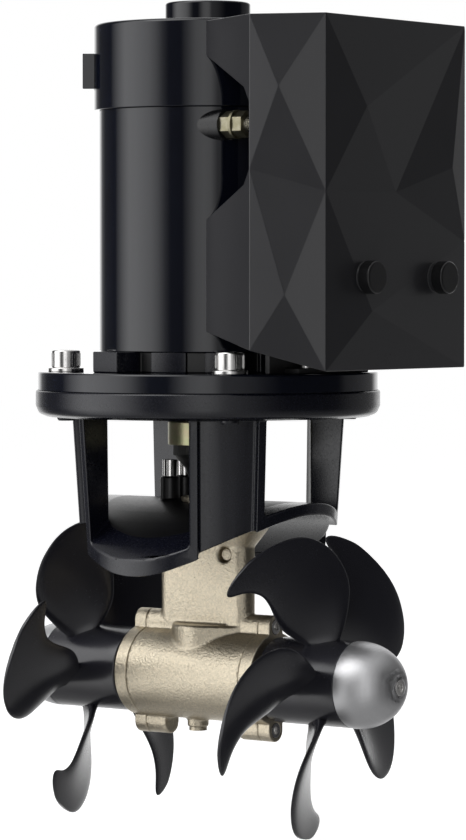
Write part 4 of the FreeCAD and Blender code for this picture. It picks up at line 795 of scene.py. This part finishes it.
# Each edge of a blade as (radius in mm, degrees round the shaft), from the hub to the tip.
BACK_EDGE = ((22, -15.5), (26, -18), (31, -19.8), (37, -21), (42, -21.7), (48, -22), (53, -21.7),
             (57, -20.8), (62, -19), (66, -17), (70, -14.6), (74, -11.8), (77, -9.2),
             (80, -6), (83, -2.2), (85, 1.4), (86.4, 5), (87.4, 10), (88, 16), (88.3, 22))
FRONT_EDGE = ((22, 11), (25, 14), (29, 18.6), (33, 22), (36.5, 24), (40, 25), (45, 25.3),
              (50, 25.1), (56, 24.8), (62, 25.3), (66, 26.4), (69, 28), (73, 30.5), (76, 33.2),
              (78.5, 36), (80.5, 37.8), (83, 38.2), (85, 37), (86.5, 34.5), (87.5, 30.5),
              (88.3, 25))
BLADE_FOOT, BLADE_END = 22, 88.3
HUB_START, HUB_END, HUB_RADIUS, HUB_BORE = 49.5 * MM, 102 * MM, 24 * MM, 6.6 * MM
SINK_RADIUS, SINK_DEPTH = 12 * MM, 16 * MM


def degrees_at(radius, curve):
    """Where an edge of the blade lies at one radius."""
    if radius <= curve[0][0]:
        return curve[0][1]
    for (r0, d0), (r1, d1) in zip(curve, curve[1:]):
        if radius <= r1:
            share = (radius - r0) / (r1 - r0)
            return d0 + (d1 - d0) * share
    return curve[-1][1]


def blade_mesh(settings, middle):
    """One scimitar blade standing on +Z, lying on a left-hand screw about X."""
    across, rows = 14, 26
    work = bmesh.new()
    loops = []
    for step in range(rows + 1):
        share = step / rows
        # The rows crowd towards the tip, and the root swells beside the hub.
        radius = BLADE_FOOT + (BLADE_END - BLADE_FOOT) * (1 - (1 - share) ** 1.35)
        first, last = degrees_at(radius, BACK_EDGE), degrees_at(radius, FRONT_EDGE)
        radius *= MM
        thick = (settings.root * (1 - share) + settings.tip * share) / 2
        thick *= 1 + 0.35 * math.exp(-(radius - HUB_RADIUS) / (1.8 * MM))
        steep = math.atan2(settings.pitch, 2 * math.pi * radius)
        loop = []
        for side in (1, -1):
            stations = range(across + 1) if side > 0 else range(across - 1, 0, -1)
            for station in stations:
                u = station / across
                spread = 0.5 - 0.5 * math.cos(math.pi * u)
                degrees = first + (last - first) * spread
                # A plate of nearly even thickness, round at both edges.
                half = thick * (1 - abs(2 * spread - 1) ** 7) ** 0.5 * 0.92
                turn = math.radians(degrees) + side * half * math.sin(steep) / radius
                along = middle - degrees * settings.pitch / 360 + side * half * math.cos(steep)
                loop.append(work.verts.new((along, -radius * math.sin(turn),
                                            radius * math.cos(turn))))
        loops.append(loop)
    for lower, upper in zip(loops, loops[1:]):
        for k in range(len(lower)):
            n = (k + 1) % len(lower)
            work.faces.new((lower[k], lower[n], upper[n], upper[k]))
    for loop in (loops[0], loops[-1]):
        pairs = [(loop[k], loop[-k % len(loop)]) for k in range(across + 1)]
        for (a, b), (c, d) in zip(pairs, pairs[1:]):
            corners = []
            for vert in (a, c, d, b):
                if vert not in corners:
                    corners.append(vert)
            work.faces.new(corners)
    bmesh.ops.recalc_face_normals(work, faces=work.faces)
    return meshed(work, "blade")


def propeller_form(settings, side, phase):
    """Hub and blade ring of one propeller; side -1 is the one turned half round."""
    middle = HUB_START + (HUB_END - HUB_START) * 0.6
    blade = loose(blade_mesh(settings, middle))
    finer = blade.modifiers.new("finer", "SUBSURF")
    finer.levels = finer.render_levels = 1
    one = taken(blade)
    # The ring tree turns about Z, so the blade is laid along Z first and stood back after.
    one.transform(Matrix.Rotation(-math.pi / 2, 4, "Y"))
    ring = repeated(one, "propeller_plastic", Count=settings.blades, Radius=0.0,
                    Step=2 * math.pi / settings.blades, Start=math.radians(phase),
                    Turn=(0.0, math.pi / 2, 0.0))
    hub = turned([
        (HUB_BORE, HUB_START, 0), (HUB_RADIUS - 0.4 * MM, HUB_START, 1.2 * MM),
        (HUB_RADIUS, HUB_START + 8 * MM, 0), (HUB_RADIUS, HUB_END, 0.6 * MM),
        (SINK_RADIUS, HUB_END, 0), (SINK_RADIUS, HUB_END - SINK_DEPTH, 0),
        (HUB_BORE, HUB_END - SINK_DEPTH, 0)], axis="X", steps=128)
    whole = merged([ring, hub])
    if side < 0:
        whole.transform(Matrix.Rotation(math.pi, 4, "Z"))
    return whole


# ------------------------------------------------------------------------- operators

class THRUSTER_OT_stage(bpy.types.Operator):
    """Floor, backdrop light, lamps and camera."""
    bl_idname = "thruster.stage"
    bl_label = "Stage"

    def execute(self, context):
        scene, settings = context.scene, context.scene.thruster_stage
        scene.view_settings.view_transform = "Standard"
        self.backdrop(scene)
        self.floor(settings)
        # Angle in degrees, height, distance, width and length in metres, watts.
        for name, turn, height, distance, size, power in (
                ("left_box", -88, 0.35, 1.5, (0.9, 1.6), 20.0),
                ("front_box", -8, 0.75, 2.4, (0.8, 1.2), 9.0),
                ("right_box", 116, 0.45, 1.6, (0.7, 1.5), 8.0)):
            self.lamp(scene, name, math.radians(turn), height, distance, size, power)
        self.camera(scene, settings)
        return {"FINISHED"}

    def backdrop(self, scene):
        """White behind the object; softer boxes round it for what shines."""
        scene.world = bpy.data.worlds.new("studio")
        scene.world.use_nodes = True
        f = Finish("studio", scene.world.node_tree)
        parts = f.tree.nodes.new("ShaderNodeSeparateXYZ")
        f.feed(parts.inputs[0], f.node("ShaderNodeTexCoord", out="Generated"))
        x, y, z = (Val(f, parts.outputs[i]) for i in range(3))
        right = x * TO_RIGHT.x + y * TO_RIGHT.y
        near = x * TO_CAMERA.x + y * TO_CAMERA.y
        turn = f.node("ShaderNodeMath", {"operation": "ARCTAN2"}, {0: right, 1: near})
        share = turn / (2 * math.pi) + 0.5

        # Brightness by compass angle from the camera, to the left below zero.
        round_about = ((-180, 1.4), (-160, 1.3), (-151, 0.3), (-140, 0.08), (-115, 0.06),
                       (-108, 0.6), (-100, 1.4), (-92, 2.2), (-82, 2.35), (-72, 2.2), (-62, 1.9),
                       (-54, 1.3), (-46, 0.45), (-40, 0.1), (-27, 0.08), (-20, 0.6),
                       (-12, 1.3), (-4, 1.5), (3, 1.35), (10, 0.5), (22, 0.4), (30, 0.29),
                       (40, 0.13), (50, 0.03), (98, 0.03), (107, 0.18), (128, 0.2),
                       (146, 0.2), (156, 1.2), (180, 1.4))
        brightest, ceiling, ground, plain = 4.0, 0.8, 0.44, 0.22
        stops = [(degrees / 360 + 0.5, level / brightest) for degrees, level in round_about]
        boxes = f.node("ShaderNodeValToRGB", {"stops": stops}, {"Fac": share}) * brightest
        above = f.span(z, 0.55, 0.95)
        below = f.span(z * -1.0, 0.25, 0.8)
        boxes = boxes * (1 - above) + above * ceiling
        boxes = boxes * (1 - below) + below * ground
        # One more box high at the left: the way to it, and its brightness.
        box, bright = TO_RIGHT * -0.50 + TO_CAMERA * 0.38 + Vector((0, 0, 0.78)), 2.6
        boxes = boxes + f.span(x * box.x + y * box.y + z * box.z, 0.90, 0.97) * bright
        path = f.tree.nodes.new("ShaderNodeLightPath")
        seen = Val(f, path.outputs["Is Camera Ray"])
        through = Val(f, path.outputs["Is Transmission Ray"])
        shiny = Val(f, path.outputs["Is Glossy Ray"])
        bare = f.node("ShaderNodeMath", {"operation": "MAXIMUM"}, {0: seen, 1: through})
        level = (1 - bare) * (shiny * boxes + (1 - shiny) * plain) + bare
        sky = f.tree.nodes.new("ShaderNodeBackground")
        f.feed(sky.inputs["Color"], (1.0, 1.0, 1.0))
        f.feed(sky.inputs["Strength"], level)
        out = f.tree.nodes.new("ShaderNodeOutputWorld")
        f.tree.links.new(sky.outputs[0], out.inputs[0])

    def floor(self, settings):
        """Pale floor just below the object, with a glow that only the camera sees."""
        work = bmesh.new()
        level = CAD_BOX[0].z - 0.3 * MM
        for x, y in ((-6, -6), (6, -6), (6, 6), (-6, 6)):
            work.verts.new((x, y, level))
        work.faces.new(work.verts)
        mesh = meshed(work, "floor")
        f = Finish("floor_white")
        path = f.tree.nodes.new("ShaderNodeLightPath")
        seen = Val(f, path.outputs["Is Camera Ray"])
        dull = f.node("ShaderNodeBsdfDiffuse", {}, {"Color": tuple(settings.floor)})
        glow = f.node("ShaderNodeEmission", {}, {"Color": (1.0, 1.0, 1.0), "Strength": seen * 0.8})
        both = f.node("ShaderNodeAddShader", {}, {0: dull, 1: glow})
        out = f.tree.nodes.new("ShaderNodeOutputMaterial")
        f.feed(out.inputs[0], both)
        mesh.materials.append(f.material)
        floor = loose(mesh, "floor")
        floor.visible_glossy = False

    def lamp(self, scene, name, turn, height, distance, size, power):
        """A soft box that faces the object, at an angle from the camera round to its right."""
        light = bpy.data.lights.new(name, "AREA")
        light.shape = "RECTANGLE"
        light.size, light.size_y = size
        light.energy = power
        lamp = bpy.data.objects.new(name, light)
        scene.collection.objects.link(lamp)
        aim = Vector((0, 0, 0.15))
        lamp.location = (TO_CAMERA * math.cos(turn) + TO_RIGHT * math.sin(turn)) * distance
        lamp.location.z = height
        lamp.rotation_euler = (aim - lamp.location).to_track_quat("-Z", "Y").to_euler()
        lamp.visible_glossy = False

    def camera(self, scene, settings):
        """A long lens that looks slightly down at the object."""
        lens = bpy.data.cameras.new("camera")
        lens.sensor_width = 36
        lens.lens = 164.05
        lens.clip_end = 30
        camera = bpy.data.objects.new("camera", lens)
        scene.collection.objects.link(camera)
        camera.location = TO_CAMERA * settings.distance + Vector((0, 0, settings.height))
        aim = TO_RIGHT * 0.01411 + Vector((0, 0, 0.14373))
        camera.rotation_euler = (aim - camera.location).to_track_quat("-Z", "Y").to_euler()
        scene.camera = camera


class THRUSTER_OT_finishes(bpy.types.Operator):
    """Gives every carried-over piece of the frame its finish."""
    bl_idname = "thruster.finishes"
    bl_label = "Finishes"

    def execute(self, context):
        FINISHES.update(make_finishes(context.scene))
        for part in frame["record"]["subparts"]:
            slots = frame["nodes"][part["node"]].data.materials
            slots.clear()
            slots.append(FINISHES[part["material_slot"]])
        for node in ("terminal_studs", "cover_studs"):
            frame["nodes"][node].data.materials[0] = FINISHES["stud_thread"]
        return {"FINISHED"}


class THRUSTER_OT_motor(bpy.types.Operator):
    """Motor tube, brush cover, bearing cap, shield and clasp."""
    bl_idname = "thruster.motor"
    bl_label = "Motor"

    def execute(self, context):
        motor_skin(context.scene.thruster_motor.edge)
        dress_rounded("cast_black", 0.7 * MM, ("drive_end_shield",), segments=3)
        dress_rounded("motor_paint", 0.5 * MM, ("band_clasp",), segments=3)
        dress_rounded("zinc_plate", 0.35 * MM, ("terminal_nuts",))
        dress_rounded("insulator", 0.4 * MM, ("terminal_insulators",))
        return {"FINISHED"}


class THRUSTER_OT_support(bpy.types.Operator):
    """Flange and windowed support with its saddle."""
    bl_idname = "thruster.support"
    bl_label = "Support"

    def execute(self, context):
        settings = context.scene.thruster_castings
        dress_rounded("flange_black", settings.flange_edge, ("motor_flange",), segments=3)
        dress_rounded("cast_black", settings.support_edge, ("support_bell",), segments=3)
        for node, slot in (("upper_coupling", "olive_zinc"), ("lower_coupling", "coupling_black"),
                           ("coupling_spider", "spider_rubber")):
            dress_rounded(slot, 0.5 * MM, (node,), "drive_line")
        return {"FINISHED"}


class THRUSTER_OT_fasteners(bpy.types.Operator):
    """Flange screws with washers, saddle screws and end-cap screws."""
    bl_idname = "thruster.fasteners"
    bl_label = "Fasteners"

    def execute(self, context):
        settings = context.scene.thruster_fasteners
        ring = {"Count": settings.flange_screws, "Radius": settings.bolt_circle,
                "Step": 2 * math.pi / settings.flange_screws, "Start": math.pi / 4}
        washer_low, washer_top = low("flange_washers").z, high("flange_washers").z
        head_top, end = high("flange_bolts").z, low("flange_bolts").z
        screw = socket_screw(8 * MM, head_top - washer_top, 5 * MM, washer_top - end, 8 * MM)
        screws = repeated(screw, "flange_steel", Shift=(0, 0, washer_top), **ring)
        new_piece("flange_screw_ring", screws, "root", "stainless", "flange_bolts",
                  "flange_steel")
        plate = washer(10 * MM, 5.2 * MM, washer_top - washer_low)
        plates = repeated(plate, "stainless", Shift=(0, 0, washer_low), **ring)
        new_piece("flange_washer_ring", plates, "root", "stainless", "flange_washers")
        dress_rounded("stainless", 0.35 * MM, ("saddle_bolts",))
        dress_rounded("stainless", 0.3 * MM, ("end_cap_screws",))
        return {"FINISHED"}


class THRUSTER_OT_leg(bpy.types.Operator):
    """Bronze gear leg and its two end caps."""
    bl_idname = "thruster.leg"
    bl_label = "Gear leg"

    def execute(self, context):
        settings = context.scene.thruster_castings
        dress("gear_leg", cast_copy("gear_leg", settings.leg_voxel, settings.leg_softness),
              "bronze", smooth=60)
        dress_rounded("bronze", 0.7 * MM, ("end_cap_starboard", "end_cap_port"), segments=3)
        self.plug()
        return {"FINISHED"}

    def plug(self):
        """Screw plug sunk in the leg's side, with a gap round its crown."""
        lo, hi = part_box("leg_plug")
        radius, deep = (hi.x - lo.x) / 2, hi.y - lo.y
        mesh = turned([(0.01 * MM, 0, 0), (radius, 0, 0), (radius, deep * 0.2, 0),
                       (radius * 0.8, deep * 0.3, 0), (radius * 0.8, deep, 0.5 * MM),
                       (0.01 * MM, deep, 0)], steps=64)
        mesh.transform(Matrix.Translation(((hi.x + lo.x) / 2, hi.y, (hi.z + lo.z) / 2))
                       @ Matrix.Rotation(math.pi / 2, 4, "X"))
        dress("leg_plug", mesh, "bronze")


class THRUSTER_OT_propellers(bpy.types.Operator):
    """Both propellers and their zinc anodes."""
    bl_idname = "thruster.propellers"
    bl_label = "Propellers"

    def execute(self, context):
        settings = context.scene.thruster_propellers
        for side, phase, node in ((1, 14, "starboard_propeller"), (-1, -24.5, "port_propeller")):
            dress(node, propeller_form(settings, side, phase), "propeller_plastic",
                  "propeller_line", smooth=42)
        dress_rounded("zinc_anode", 0.4 * MM, ("starboard_anode", "port_anode"),
                      "propeller_line")
        dress("anode_screws", self.anode_screws(), "stainless", "propeller_line")
        return {"FINISHED"}

    def anode_screws(self):
        """The two screws in the anodes' tips, with an open groove round each head."""
        head = 2.6 * MM
        seat = Matrix.Translation((high("anode_screws").x - head, 0, 0))
        pair = []
        for turn in (0, math.pi):
            screw = socket_screw(4.3 * MM, head, 2.4 * MM, 30 * MM, 4 * MM, 24)
            screw.transform(Matrix.Rotation(turn, 4, "Z") @ seat
                            @ Matrix.Rotation(math.pi / 2, 4, "Y"))
            pair.append(screw)
        return merged(pair)


class THRUSTER_OT_cover(bpy.types.Operator):
    """Faceted relay cover, its bracket and the two thumb nuts."""
    bl_idname = "thruster.cover"
    bl_label = "Relay cover"

    def execute(self, context):
        settings = context.scene.thruster_cover
        dress("relay_cover", rounded_copy("relay_cover", settings.edge, 3, 3), "cover_plastic",
              smooth=20)
        dress_rounded("bracket_steel", 0.6 * MM, ("relay_bracket",))
        for side in ("fore", "aft"):
            dress_rounded("knob_plastic", 0.35 * MM, ("cover_knob_" + side,), "knob_" + side)
        return {"FINISHED"}


class THRUSTER_PT_panel(bpy.types.Panel):
    """Lists the pieces of the thruster and their settings."""
    bl_label = "Bow Thruster"
    bl_space_type = "VIEW_3D"
    bl_region_type = "UI"
    bl_category = "Thruster"

    def draw(self, context):
        for name, (group, operators) in GROUPS.items():
            box = self.layout.box()
            box.label(text=name)
            settings = getattr(context.scene, group)
            for key in settings.bl_rna.properties.keys():
                if key not in ("rna_type", "name"):
                    box.prop(settings, key)
            for operator in operators:
                box.operator(operator.bl_idname)


GROUPS = {
    "Stage": ("thruster_stage", (THRUSTER_OT_stage, THRUSTER_OT_finishes)),
    "Motor": ("thruster_motor", (THRUSTER_OT_motor,)),
    "Castings": ("thruster_castings", (THRUSTER_OT_support, THRUSTER_OT_leg)),
    "Fasteners": ("thruster_fasteners", (THRUSTER_OT_fasteners,)),
    "Relay cover": ("thruster_cover", (THRUSTER_OT_cover,)),
    "Propellers": ("thruster_propellers", (THRUSTER_OT_propellers,)),
}
SETTINGS = {"thruster_stage": StageSettings, "thruster_motor": MotorSettings,
            "thruster_castings": CastingSettings, "thruster_fasteners": FastenerSettings,
            "thruster_cover": CoverSettings, "thruster_propellers": PropellerSettings}
OPERATORS = [operator for _, operators in GROUPS.values() for operator in operators]


def register():
    for group in SETTINGS.values():
        bpy.utils.register_class(group)
    for operator in OPERATORS:
        bpy.utils.register_class(operator)
    bpy.utils.register_class(THRUSTER_PT_panel)
    for name, group in SETTINGS.items():
        setattr(bpy.types.Scene, name, PointerProperty(type=group))


def unregister():
    for name in SETTINGS:
        delattr(bpy.types.Scene, name)
    bpy.utils.unregister_class(THRUSTER_PT_panel)
    for operator in reversed(OPERATORS):
        bpy.utils.unregister_class(operator)
    for group in reversed(list(SETTINGS.values())):
        bpy.utils.unregister_class(group)


def main():
    register()
    for operator in OPERATORS:
        area, action = operator.bl_idname.split(".")
        getattr(getattr(bpy.ops, area), action)()


if __name__ == "__main__":
    main()
